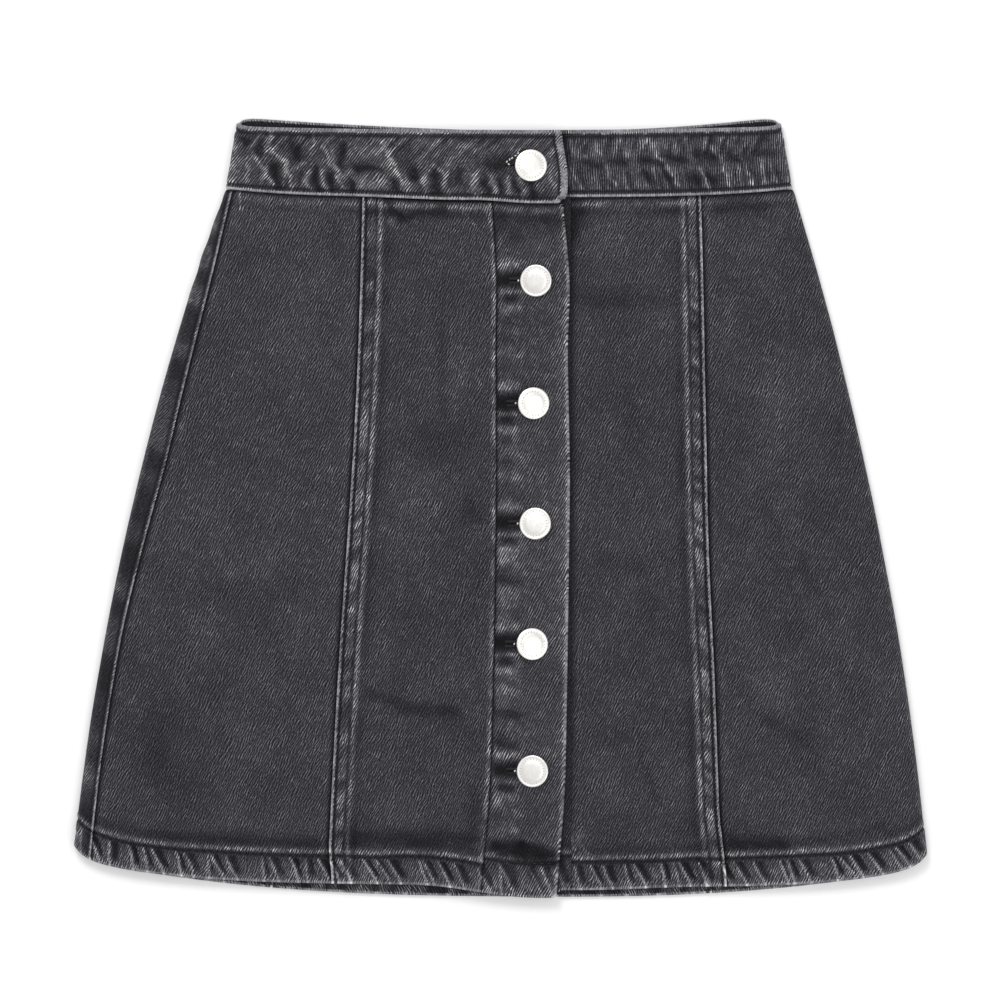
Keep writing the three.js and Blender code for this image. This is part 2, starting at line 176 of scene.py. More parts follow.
def hump(u):
    """A smooth hump of height 1 at 0 that ends at -1 and 1."""
    return np.where(np.abs(u) < 1, np.cos(np.clip(u, -1, 1) * np.pi / 2) ** 2, 0)


def bell(distance, centre, width):
    return np.exp(-(((distance - centre) / width) ** 2))


def plateau(distance, start, end, soft):
    """1 between start and end, falling off over soft on both sides."""
    return ease((distance - start) / soft + 0.5) * ease((end - distance) / soft + 0.5)


def table(down, values):
    """A value of one of the tables of the cut, on a smooth line through its rows."""
    fine = np.linspace(0, 1, 201)
    line = np.interp(fine, DOWN, values)
    window = np.hanning(31)
    padded = np.pad(line, len(window) // 2, mode="reflect", reflect_type="odd")
    smooth = np.convolve(padded, window / window.sum(), mode="valid")
    return np.interp(down, fine, smooth)


def jitter(number, seed, low=0.0, high=1.0):
    """A random value between low and high that is always the same for a whole number."""
    return np.random.default_rng(seed).uniform(low, high, 1024)[number % 1024]


def uneven(along, spacing, seed):
    """Smooth noise along a line, from -1 to 1, that turns about once every spacing."""
    at = along / spacing
    start = np.floor(at).astype(int)
    blend = ease(at - start)
    return jitter(start, seed, -1) * (1 - blend) + jitter(start + 1, seed, -1) * blend


def cloud(x, y, wide, tall, seed):
    """Smooth noise over the cloth, from -1 to 1, in patches about wide by tall."""
    row = np.floor(y / tall).astype(int)
    blend = ease(y / tall - row)
    offset = jitter(row, seed, 0, 400)
    next_offset = jitter(row + 1, seed, 0, 400)
    near = uneven(x + offset * wide, wide, seed + 1)
    far = uneven(x + next_offset * wide, wide, seed + 1)
    return near * (1 - blend) + far * blend


def slanted_lines(across, along, spacing, lean, seed):
    """Unevenly spaced lines that lean by so much to the right for each millimetre along.

    Gives how far to the right of the nearest line each point is, and how strong that line is.
    """
    first = np.floor((across - lean * along) / spacing).astype(int)
    nearest = np.full(np.shape(first), np.inf)
    strength = np.zeros(np.shape(first))
    for number in (first - 1, first, first + 1, first + 2):
        place = (number + jitter(number, seed, 0.1, 0.9)) * spacing
        slope = lean * jitter(number, seed + 1, 0.4, 1.5)
        bend = jitter(number, seed + 2, -1, 1) * np.sin(along / 4 + number)
        right = across - slope * along - place - 0.9 * bend
        closer = np.abs(right) < np.abs(nearest)
        nearest = np.where(closer, right, nearest)
        strength = np.where(closer, jitter(number, seed + 3, 0.25, 1.0), strength)
    return nearest, strength


# ---- The flattened tube ----
# A tube gives its cross-section at any row: down is 0 at the waist seam and 1 at the hem on the panels,
# and on the waistband it is 0 at the waist seam and 1 at the upper edge. s is -1 at the left fold and 1
# at the right one. half and middle place its sides, and fold is the height of its side folds. left_flat
# is where the left front stops rising, left_top and right_top are how high the fronts lie there, and
# left_drop and right_drop how far they hang.


def edge_y(s, middle_y, lift, power, side_y):
    """y along a hem or an upper edge, which rises to the sides and turns a round corner at each fold."""
    s = np.abs(s)
    return middle_y + lift * s**power + (side_y - middle_y - lift) * s**40


def waist_to(hem_line, down, s):
    """y on the way down from the waist seam to a hem."""
    waist = WAIST_Y - GAP + WAIST_LIFT * s**4
    return waist + (hem_line - HEM_TILT * s - waist) * down


def waist_up_to(edge, up, s):
    """y on the way up from the waist seam to the waistband's upper edge."""
    waist = WAIST_Y + WAIST_LIFT * s**4
    return waist + (edge - waist) * up


def waist_dip(x):
    """How far the waist of the left front hangs, most of all under the tab."""
    return WAIST_DIP * ease((x + 90) / 70) + TAB_DIP * ease((x + 16) / 36)


def placket_hang(down, x):
    """How far the cloth round the placket's foot hangs."""
    return PLACKET_HANG * down**3 * hump((x - HANG_MIDDLE) / HANG_REACH)


def to_hem(down):
    """0 on the panels and 1 on the hem's folded cloth, which is thicker."""
    return ease((down - 0.9) / 0.06)


def strip_top(down):
    """The height of the placket's face."""
    at_waist = STRIP_TOP + (STRIP_TOP_WAIST - STRIP_TOP) * (1 - ease(down / 0.08))
    return at_waist + (STRIP_TOP_HEM - at_waist) * to_hem(down)


def right_seam_top(down):
    """The height of the right front's face beside the underlap."""
    upper = strip_top(down) - STRIP - GAP
    return upper + (STRIP_TOP_HEM - RIGHT_SEAM_DROP - upper) * to_hem(down)


def band_back_y(up, s):
    upper = edge_y(s, BACK_TOP_Y, BACK_TOP_LIFT, 2, TOP_SIDE_Y)
    return waist_up_to(upper - BACK_TOP_SWAY * np.sin(np.pi * s), up, s)


def constant(value):
    return lambda up: value + 0 * up


PANELS = SimpleNamespace(
    half=lambda down: WAIST_HALF + (HEM_HALF - WAIST_HALF) * (FLARE * down - (FLARE - 1) * down**2),
    middle=lambda down: WAIST_SHIFT * (1 - down) ** 1.75,
    fold=lambda down: SIDE_FOLD + (HEM_FOLD - SIDE_FOLD) * to_hem(down),
    front_y=lambda down, s: waist_to(edge_y(s, FRONT_HEM_Y, FRONT_HEM_LIFT, 5, HEM_SIDE_Y), down, s),
    back_y=lambda down, s: waist_to(edge_y(s, BACK_HEM_Y, BACK_HEM_LIFT, 2.6, HEM_SIDE_Y), down, s),
    left_flat=lambda down: table(down, PLACKET_LEFT),
    left_top=lambda down: LEFT_SEAM_TOP + (STRIP_TOP_HEM - GAP - LEFT_SEAM_TOP) * to_hem(down),
    right_top=right_seam_top,
    left_drop=lambda down, x: (1 - down) * waist_dip(x) + placket_hang(down, x),
    right_drop=lambda down, x: 2.5 * down**3 * hump((x - 40) / 80),
)
BAND = SimpleNamespace(
    half=lambda up: BAND_HALF - BAND_TAPER * up,
    middle=constant(BAND_SHIFT),
    fold=constant(BAND_FOLD),
    front_y=lambda up, s: waist_up_to(edge_y(s, FRONT_TOP_Y, FRONT_TOP_LIFT, 2, TOP_SIDE_Y), up, s),
    back_y=band_back_y,
    left_flat=constant(PLACKET_LEFT[0]),
    left_top=constant(BAND_TAB_TOP),
    right_top=constant(BAND_UNDER_TOP),
    left_drop=lambda up, x: (1 - up) * waist_dip(x),
    right_drop=lambda up, x: 0 * x,
)


def fold_x(tube, down, side):
    """x where a row's flat front or back ends and its fold begins."""
    return tube.middle(down) + side * (tube.half(down) - tube.fold(down) / 2)


def share_across(tube, down, x):
    """s at an x."""
    return (x - tube.middle(down)) / tube.half(down)


def level(x, y, z, way_out):
    """Points of level cloth, and the way out of it, up or down, at each."""
    return np.stack([x, y, z], -1), np.stack([0 * x, 0 * x, 0 * x + way_out], -1)


# The places on the tube. Each gives the points of the cloth's outer face, and the way out of it there.


def on_back(tube, down, x):
    return level(x, tube.back_y(down, share_across(tube, down, x)), 0 * x, -1)


def on_left_front(tube, down, x):
    start = fold_x(tube, down, -1)
    u = np.clip((x - start) / (tube.left_flat(down) - start), 0, 1)
    z = tube.fold(down) + (tube.left_top(down) - tube.fold(down)) * ease(u) - FRONT_SAG * np.sin(np.pi * u)
    return level(x, tube.front_y(down, share_across(tube, down, x)) - tube.left_drop(down, x), z, 1)


def on_right_front(tube, down, x):
    end = fold_x(tube, down, 1)
    u = np.clip((x - UNDERLAP_SEAM) / (end - UNDERLAP_SEAM), 0, 1)
    z = tube.right_top(down) + (tube.fold(down) - tube.right_top(down)) * ease(u)
    return level(x, tube.front_y(down, share_across(tube, down, x)) - tube.right_drop(down, x), z, 1)


def on_placket(tube, down, x):
    points, out = on_left_front(tube, down, x)
    points[..., 2] = strip_top(down)
    return points, out


def on_underlap(tube, down, x):
    points, out = on_right_front(tube, down, x)
    covered = 1 - ease((x - table(down, PLACKET_RIGHT) + 4) / 8)
    points[..., 1] -= (placket_hang(down, x) - tube.right_drop(down, x)) * covered
    points[..., 2] = strip_top(down) - STRIP - GAP
    return points, out


def on_fold(tube, down, side, turns):
    """turns are degrees round the fold, from -90 under it to 90 on top."""
    angle = np.radians(turns)[None, :]
    radius = tube.fold(down) / 2
    flat = np.ones_like(down * angle)
    out = np.stack([side * np.cos(angle) * flat, 0 * flat, np.sin(angle) * flat], -1)
    x = tube.middle(down) + side * (tube.half(down) - radius)
    points = np.stack([x * flat, 0 * flat, radius * flat], -1) + out * (radius * flat)[..., None]
    s = share_across(tube, down, points[..., 0])
    back, front = tube.back_y(down, s), tube.front_y(down, s)
    points[..., 1] = back + (front - back) * ease((angle + np.pi / 2) / np.pi)
    return points, out


FOLD_TURNS = np.linspace(-90, 90, 15)[1:-1]

# ---- Seams: x at each row ----


def left_princess(down):
    return -80.3 - 20 * down**1.4 - 2 * hump((down - 0.7) / 0.45) + 2.6 * ease((down - 0.94) / 0.06)


def right_princess(down):
    sway = 1.8 * hump(down / 0.42) - 0.8 * hump((down - 0.52) / 0.2)
    return 114.5 + 14 * down + sway + 2.8 * ease((down - 0.88) / 0.12)


def back_left_seam(down):
    return -84 - 50 * down


def back_right_seam(down):
    return 88 + 35 * down


def side_seam(down, side):
    """The seam beside the left fold (side is -1), which lies on the front, or the right, on the back."""
    return PANELS.middle(down) + side * (PANELS.half(down) - table(down, SIDE_INSET))


# ---- Grids ----
# A grid is a piece of cloth as rows of points, from the waist down, whose columns go round the tube one
# way: along the front to the right, round the right fold, back along the back, and round the left fold.
# Its rows near the waist and the hem are fine: they keep every column. The rest keep the main columns.

NARROW = np.arange(0, 14.5, 0.6)  # columns beside a topstitched seam
PLAIN = np.array([0, 0.5, 1.0, 1.7, 2.6, 4.0])  # columns beside a plain edge
FINE_STEP = 0.85  # between the columns of a fine row
MAIN_EVERY = 4  # and every so many of them is a main column
BACK_SPACING = (2.1, 2)  # both of these on the back, which is pressed flat


def flat(place, tube, rows, start, end, beside=(PLAIN, PLAIN), step=FINE_STEP, main_every=MAIN_EVERY):
    """The part of a piece that a flat place of the tube lays out, from one x to another on each row.

    Its columns are close together beside the seams. The last value tells which are main columns.
    """
    way = np.sign(end - start)
    first = start + way * beside[0]
    last = end - way * beside[1][::-1]
    count = int(np.abs(last[:, :1] - first[:, -1:]).max() / step) + 1
    share = np.linspace(0, 1, count + 2)[1:-1]
    between = first[:, -1:] + (last[:, :1] - first[:, -1:]) * share
    ends = [np.ones(len(columns), bool) for columns in beside]
    main = np.concatenate([ends[0], np.arange(count) % main_every == main_every - 1, ends[1]])
    return (*place(tube, rows.down, np.concatenate([first, between, last], axis=1)), main)


def fold_stretch(tube, rows, side, turns):
    """The part of a piece that goes round a side fold, with a main column at each of the turns."""
    return (*on_fold(tube, rows.down, side, turns), np.ones(len(turns), bool))


def distances(points, axis):
    """How far each point is along its row or column from the first one."""
    steps = np.linalg.norm(np.diff(points, axis=axis), axis=-1)
    start = np.zeros_like(np.take(steps, [0], axis=axis))
    return np.cumsum(np.concatenate([start, steps], axis=axis), axis=axis)


def lay_out(rows, *stretches):
    """Joins stretches of one piece into a grid, with each point's distance from all four edges.

    roll is how much of a fold's radius a fold of the cloth has there.
    """
    points, out = (np.concatenate([stretch[k] for stretch in stretches], axis=1) for k in (0, 1))
    across, along = distances(points, 1), distances(points, 0)
    return SimpleNamespace(
        points=points,
        out=out,
        down=rows.down + 0 * across,
        left=across,
        right=across[:, -1:] - across,
        top=along,
        bottom=along[-1:] - along + FOLD_RADIUS,
        height=np.zeros_like(across),
        wear_and_shade=np.zeros_like(across),
        roll=np.ones_like(across),
        fine=rows.fine,
        main=np.concatenate([stretch[2] for stretch in stretches]),
    )


TO_SEAM = GAP / 3  # from a seam's line to the edge of each piece that meets there
PANEL_LENGTH = WAIST_Y - FRONT_HEM_Y
FINE_WAIST = 11.0  # how far down from the waist the fine rows go
FINE_HEM = 27.0  # and how far up from the hem


def panel_rows(body=1.3, ends=0.9):
    """The rows of a panel: their fractions of the way down, and which of them are fine."""
    last = PANEL_LENGTH - FOLD_RADIUS
    waist = np.arange(0, FINE_WAIST, ends)
    middle = np.arange(FINE_WAIST, PANEL_LENGTH - FINE_HEM, body)
    hem_rows = np.append(np.arange(PANEL_LENGTH - FINE_HEM, last - ends / 2, ends), last)
    down = np.concatenate([waist, middle, hem_rows])[:, None] / PANEL_LENGTH
    fine = np.repeat([True, False, True], [len(waist), len(middle), len(hem_rows)])
    return SimpleNamespace(down=down, fine=fine)


# ---- Relief, wear and painted shade ----
# Each of these raises or sinks the cloth's height, in millimetres, and adds to its wear and painted shade: 1
# is rubbed pale, and below 0 is painted shade, darker than the rest.


def add_relief(grid, height, wear_and_shade):
    grid.height = grid.height + height
    grid.wear_and_shade = grid.wear_and_shade + wear_and_shade


def on_front(grid):
    """1 where the cloth faces up, and 0 elsewhere."""
    return np.where(grid.out[..., 2] > 0.5, 1, 0)


def topstitched_edge(grid, distance, seed):
    """A folded edge with two rows of topstitching, over its puckered seam allowance."""
    twist = uneven(grid.top + 1.1 * distance, 1.5, seed + 3)
    ridge = plateau(distance, -1, 1.35, 0.7)
    groove = bell(distance, FIRST_ROW + 0.15, 0.75)
    second = bell(distance, SECOND_ROW, 0.75) * (0.75 + 0.5 * uneven(grid.top, 6, seed + 4))
    pucker = uneven(grid.top + 0.7 * distance, 4.2, seed) + 0.4 * uneven(grid.top, 13, seed + 5)
    between = plateau(distance, FIRST_ROW + 0.8, SECOND_ROW - 0.6, 0.8)
    far_ridge = bell(distance, SECOND_ROW + 2.1, 1.6)
    height = 0.5 * ridge - 0.5 * groove - 0.4 * second
    height = height + between * (0.1 + 0.35 * pucker) + 0.35 * far_ridge
    # Painted shade darkens the stitching grooves, the hollows between puckers and a strip beyond the second
    # row. The ridges are rubbed pale.
    wear_and_shade = ridge * (0.86 + 0.3 * twist + 0.12 * uneven(grid.top, 14, seed + 1)) - 0.62 * groove
    wear_and_shade = wear_and_shade + between * np.clip(0.14 + 0.3 * pucker, -0.14, 0.5) - 0.34 * second
    wear_and_shade = wear_and_shade + far_ridge * (0.4 + 0.18 * uneven(grid.top, 8, seed + 2))
    wear_and_shade = wear_and_shade - 0.1 * bell(distance, SECOND_ROW + 6, 2.5) * (1 + uneven(grid.top, 15, seed + 6))
    add_relief(grid, height, wear_and_shade)


def sunk_edge(grid, distance, seed, strength=1.0):
    """An edge that goes in under its neighbour's fold, with a faint ridge a little way from it."""
    faint = bell(distance, 3.8, 1.0) * (0.5 + 0.5 * uneven(grid.top, 9, seed))
    height = 0.2 * faint - 0.8 * strength * bell(distance, 0, 1.1)
    # Painted shade darkens the edge where it goes in under the fold.
    add_relief(grid, height, 0.1 * faint - 0.5 * strength * bell(distance, 0, 1.5))


def level_seam(grid, distance, seed):
    """A seam pressed so flat that it hardly shows."""
    sunk_edge(grid, distance, seed, 0.15)


def seam_ridge(grid, distance, seed):
    """The plain folded edge of a side seam, with a few puckers pressed in beside it."""
    pucker = uneven(grid.top + 0.3 * distance, 11, seed)
    beside = plateau(distance, 2.4, 11, 2.5)
    twist = uneven(grid.top + 1.2 * distance, 1.6, seed + 2)
    ridge = plateau(distance, -1, 1.15, 0.7)
    height = 0.45 * ridge + 0.4 * beside * pucker
    strength = 0.7 + 0.25 * uneven(grid.top, 16, seed + 1) + 0.25 * twist
    # Painted shade darkens the groove beside the ridge and the hollows between the puckers.
    wear_and_shade = strength * ridge - 0.35 * bell(distance, 2.3, 0.9) + beside * np.clip(0.35 * pucker, -0.28, 0.1)
    add_relief(grid, height, wear_and_shade)


def soft_fold(grid, distance, seed):
    """The folded edge of the left panel, beside the button placket."""
    height = 0.3 * bell(distance, 1.8, 1.1) - 0.4 * bell(distance, 0, 0.5)
    wear_and_shade = bell(distance, 1.6, 1.2) * (0.34 + 0.3 * uneven(grid.top, 5, seed))
    # Painted shade darkens the seam's line.
    add_relief(grid, height, wear_and_shade - 0.25 * bell(distance, 0, 0.6))


def rubbed_edge(grid, distance, seed):
    """A free folded edge, rubbed pale along its fold."""
    rub = 0.55 + 0.15 * uneven(grid.top, 10, seed) + 0.2 * uneven(grid.top - distance, 1.8, seed + 1)
    shade = rub * bell(distance, 0, 1.1) + 0.12 * bell(distance, 0, 5)
    add_relief(grid, 0.15 * bell(distance, 1.2, 1.0), shade)


def hem(grid, seed, depth=HEM_DEPTH, strength=1.0):
    """The turned hem: its groove of stitching, a pale ridge above, and slanted roping below."""
    up = grid.bottom
    groove = depth + 0.5 * uneven(grid.left, 24, seed)
    inside = plateau(up, -4, depth - 1.6, 1.6)
    right, rope = slanted_lines(grid.left, up, 9.5, -0.42, seed + 1)
    rope = 0.35 + 0.65 * rope
    low = ease((depth - up) / 9)
    crest = rope * bell(right, 0, 0.75) * (0.75 + 0.25 * uneven(up + grid.left, 1.7, seed + 5))
    hollow = rope * bell(right, 3.4, 2.3) * plateau(up, 4.5, depth, 3.5)
    ridge = bell(up, groove + 2.5, 1.5)
    ticks = 0.75 + 0.4 * uneven(grid.left + 0.5 * up, 1.7, seed + 2)
    height = 0.35 * plateau(up, -5, depth - 0.5, 1.0) - 0.5 * bell(up, groove, 0.8) + 0.35 * ridge
    height = height + inside * (0.5 * crest - 0.75 * hollow)
    # Painted shade darkens the stitching groove, the hollow beside each rope crest and a band above the
    # ridge. The crests and the hem's edge are rubbed pale.
    wear_and_shade = 0.52 * ticks * ridge - 0.62 * bell(up, groove, 0.85)
    wear_and_shade = wear_and_shade + inside * (1.1 * crest - 0.75 * hollow + 0.24 * low - 0.04)
    wear_and_shade = wear_and_shade + bell(up, 0.5, 0.8) * (0.8 + 0.3 * uneven(grid.left, 6, seed + 3))
    wear_and_shade = wear_and_shade - 0.1 * bell(up, groove + 7, 3) * (1 + uneven(grid.left, 40, seed + 4))
    add_relief(grid, strength * height, strength * wear_and_shade)


def waist_edge(grid, seed, strength):
    """Under the waistband: a shadowed groove, then the pressed ridge of the seam allowance."""
    down = grid.top
    pucker = uneven(grid.left + 0.4 * down, 4.5, seed)
    ridge = bell(down, 4.0, 1.7)
    height = -0.55 * bell(down, 0, 0.8) + strength * ridge * (0.22 + 0.22 * pucker)
    # Painted shade darkens the groove under the waistband and the hollow below the ridge.
    wear_and_shade = -0.55 * bell(down, 0, 1.3) + strength * ridge * np.clip(0.3 + 0.3 * pucker, 0, 0.45)
    wear_and_shade = wear_and_shade - 0.16 * strength * bell(down, 8.5, 2.5) * (1 + uneven(grid.left, 14, seed + 1))
    add_relief(grid, height, wear_and_shade)


def lie_of_the_cloth(grid, seed):
    """Broad soft waves, with the faint cloudiness that washing leaves, and rubbed side folds."""
    x, y = grid.points[..., 0], grid.points[..., 1]
    waves = 0.35 * cloud(x, y, 60, 90, seed) + 0.15 * cloud(x, y, 17, 30, seed + 2)
    clouding = 0.045 * cloud(x, y, 26, 34, seed + 4) + 0.02 * cloud(x, y, 9, 12, seed + 6)
    add_relief(grid, waves, clouding + 0.18 * np.abs(grid.out[..., 0]))


def press(grid, creases, rise, rub, wander):
    """Presses creases into the front of a grid, from short tables of their ends, half width and strength.

    A crease of positive strength stands up by rise and is rubbed pale, and one below 0 is a hollow, darkened
    with painted shade.
    wander is how far they stray from a straight line.
    """
    x, y = grid.points[..., 0], grid.points[..., 1]
    x = x + wander * cloud(x, y, 5, 4, 31)
    y = y + wander * cloud(x, y, 5, 5, 37)
    for from_x, from_y, to_x, to_y, width, strength in creases:
        way_x, way_y = to_x - from_x, to_y - from_y
        share = ((x - from_x) * way_x + (y - from_y) * way_y) / max(way_x**2 + way_y**2, 1e-6)
        share = np.clip(share, 0, 1)
        away = np.hypot(x - from_x - share * way_x, y - from_y - share * way_y)
        line = on_front(grid) * strength * bell(away, 0, width)
        add_relief(grid, rise * line, rub * line)


def settle(grid):
    """Moves the points by the relief. The back keeps less of it, and none of it goes below the floor."""
    under = np.clip(-grid.out[..., 2], 0, 1)
    height = np.clip(grid.height, -PEAK * 1.3, PEAK)
    kept = height * (1 - under) + (height - PEAK) * BACK_RELIEF * under
    grid.points = grid.points + grid.out * kept[..., None]
    grid.points[..., 2] = np.maximum(grid.points[..., 2], 0)


# ---- Cloth meshes ----


def lay_grain(grid, lines_angle, from_end=False):
    """Sets the cloth coordinates: u across the twill's lines and v along them, in metres.

    They are measured from the grid's first column, or from its last.
    """
    column = -1 if from_end else 0
    start = grid.points[:, [column], 0] * np.sign(grid.out[:, [column], 2])
    across = start - grid.right if from_end else start + grid.left
    up = grid.points[..., 1]
    angle = np.radians(lines_angle - 90)
    u = across * np.cos(angle) + up * np.sin(angle)
    v = -across * np.sin(angle) + up * np.cos(angle)
    grid.uv = np.stack([u, v], -1) * MM


FOLDED_FIELDS = ("points", "out", "roll", "wear_and_shade", "uv")
LAID_FLAT = 0.1  # how much of a fold's radius is left where it folds a layer that is already folded under
LEAST_INSET = 0.6  # and half of how far in such a layer then lies
UNDER_TURNS = [25, 50, 75, 90, 105, 130, 155]  # the fold's cross-section, in degrees


def turn_under(grid, axis, at_start=False, keep=15, every=3, inner_wear_and_shade=None):
    """Folds an edge of the grid under, so that the cloth runs back inside it for keep rows or columns."""
    fields = {name: getattr(grid, name) for name in FOLDED_FIELDS}
    if axis == 1:
        fields = {name: np.swapaxes(value, 0, 1) for name, value in fields.items()}
    if at_start:
        fields = {name: value[::-1] for name, value in fields.items()}
    points, out = fields["points"], fields["out"]
    ahead = points[-1] - points[-3]
    ahead = ahead - out[-1] * (ahead * out[-1]).sum(-1, keepdims=True)
    ahead = ahead / np.linalg.norm(ahead, axis=-1, keepdims=True)
    added = {name: [] for name in fields}
    radius = FOLD_RADIUS * fields["roll"][..., None]
    for turn in UNDER_TURNS:
        past, drop = math.sin(math.radians(turn)), 1 - math.cos(math.radians(turn))
        added["points"].append(points[-1] + radius[-1] * (past * ahead - drop * out[-1]))
        added["out"].append((1 - drop) * out[-1] + past * ahead)
        added["roll"].append(fields["roll"][-1] * max(1 - drop, LAID_FLAT))
        for name in ("wear_and_shade", "uv"):
            added[name].append(fields[name][-1])
    for back in [1, *range(2, keep, every)]:
        added["points"].append(points[-back] - out[-back] * 2 * np.maximum(radius[-back], LEAST_INSET))
        added["out"].append(-out[-back])
        added["roll"].append(LAID_FLAT + 0 * fields["roll"][-1])
        for name in ("wear_and_shade", "uv"):
            added[name].append(fields[name][-back])
        # The inner layers past the fold's first are capped at the given tone, as painted shade between the
        # layers.
        if inner_wear_and_shade is not None and back > 1:
            added["wear_and_shade"][-1] = np.minimum(added["wear_and_shade"][-1], inner_wear_and_shade)
    for name, value in fields.items():
        joined = np.concatenate([value, np.array(added[name])])
        joined = joined[::-1] if at_start else joined
        setattr(grid, name, np.swapaxes(joined, 0, 1) if axis == 1 else joined)
    extra = np.ones(len(added["wear_and_shade"]), bool)
    kept = "main" if axis == 1 else "fine"
    parts = [extra, getattr(grid, kept)] if at_start else [getattr(grid, kept), extra]
    setattr(grid, kept, np.concatenate(parts))
    return grid


def grid_faces(grid):
    """The corners of the grid's faces. Where a fine row meets one that isn't, a face has extra corners."""
    rows, cols = grid.points.shape[:2]
    number = np.arange(rows * cols).reshape(rows, cols)
    main = np.flatnonzero(grid.main)
    faces = []
    for row in range(rows - 1):
        upper, lower = number[row], number[row + 1]
        if grid.fine[row] == grid.fine[row + 1]:
            kept = np.arange(cols) if grid.fine[row] else main
            upper, lower = upper[kept], lower[kept]
            faces.extend(np.stack([upper[:-1], lower[:-1], lower[1:], upper[1:]], -1).tolist())
            continue
        for start, end in zip(main[:-1], main[1:]):
            below = lower[start : end + 1] if grid.fine[row + 1] else lower[[start, end]]
            above = upper[start : end + 1] if grid.fine[row] else upper[[start, end]]
            faces.append([int(above[0]), *below.tolist(), *above[:0:-1].tolist()])
    return faces


def select_only(*pieces):
    bpy.ops.object.select_all(action="DESELECT")
    for piece in pieces:
        piece.select_set(True)
    bpy.context.view_layer.objects.active = pieces[0]


def mesh_piece(name, verts, faces):
    """Makes an object, and selects it, from points in millimetres and faces."""
    mesh = bpy.data.meshes.new(name)
    mesh.from_pydata((verts * MM).tolist(), [], faces)
    piece = bpy.data.objects.new(name, mesh)
    bpy.context.scene.collection.objects.link(piece)
    select_only(piece)
    return piece


def sheet_mesh(name, grid, holes=()):
    """Makes a grid a shell of denim. A hole is a function that tells which face centres it takes away."""
    verts = grid.points.reshape(-1, 3)
    faces = grid_faces(grid)
    if holes:
        centres = verts[np.array(faces)].mean(1)
        taken = np.any([hole(centres) for hole in holes], axis=0)
        faces = [face for face, gone in zip(faces, taken) if not gone]
    corners = np.concatenate(faces)
    used, renumbered = np.unique(corners, return_inverse=True)
    ends = np.cumsum([len(face) for face in faces])
    faces = [part.tolist() for part in np.split(renumbered, ends[:-1])]
    piece = mesh_piece(name, verts[used], faces)
    wear_and_shade = piece.data.attributes.new("wear_and_shade", "FLOAT", "POINT")
    wear_and_shade.data.foreach_set("value", grid.wear_and_shade.ravel()[used])
    grain = piece.data.uv_layers.new(name="grain")
    grain.data.foreach_set("uv", grid.uv.reshape(-1, 2)[corners].ravel())
    wall = piece.modifiers.new("thickness", "SOLIDIFY")
    wall.thickness = DENIM * MM
    wall.offset = -1
    bpy.ops.object.modifier_apply(modifier=wall.name)
    bpy.ops.object.shade_smooth()
    return piece


BODY = next(iter(frame["bodies"]))


def cloth(name, grid, slot, material, rests_on, width, length, holes=()):
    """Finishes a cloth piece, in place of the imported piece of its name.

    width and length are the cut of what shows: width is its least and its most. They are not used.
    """
    piece = sheet_mesh(f"{name}_cloth", grid, holes)
    piece.data.materials.append(material)
    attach(piece, BODY)
    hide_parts(name)


# ---- Topstitching ----

STITCH_LINES = []  # of every seam and hem: its points, and the way out of the cloth at each


def point_at(value, distance, points):
    """The point of a row or a column where distance has a value."""
    order = np.argsort(distance)
    return [np.interp(value, distance[order], points[order, k]) for k in range(3)]


def sew_along(grid, distance, value, end_margin=0.0):
    """Notes a row of stitching that runs down the grid where distance has a value."""
    rows = np.flatnonzero(grid.bottom[:, 0] > end_margin)
    line = [point_at(value, distance[i], grid.points[i]) for i in rows]
    column = np.argmin(np.abs(distance[len(rows) // 2] - value))
    STITCH_LINES.append((np.array(line), grid.out[rows, column]))


def sew_across(grid, distance, value):
    """Notes a row of stitching that runs across the grid where distance has a value."""
    line = [point_at(value, distance[:, j], grid.points[:, j]) for j in range(grid.top.shape[1])]
    STITCH_LINES.append((np.array(line), grid.out[len(grid.top) // 2]))


# ---- Panels ----

# How far the twill's lines slope from the horizontal, in degrees.
PANEL_TWILL = 64
STRIP_TWILL = 62
BAND_LEFT_TWILL = 52
BAND_RIGHT_TWILL = 90

CUT_LENGTH = 399 + HEM_DEPTH  # of a panel, with its turned hem

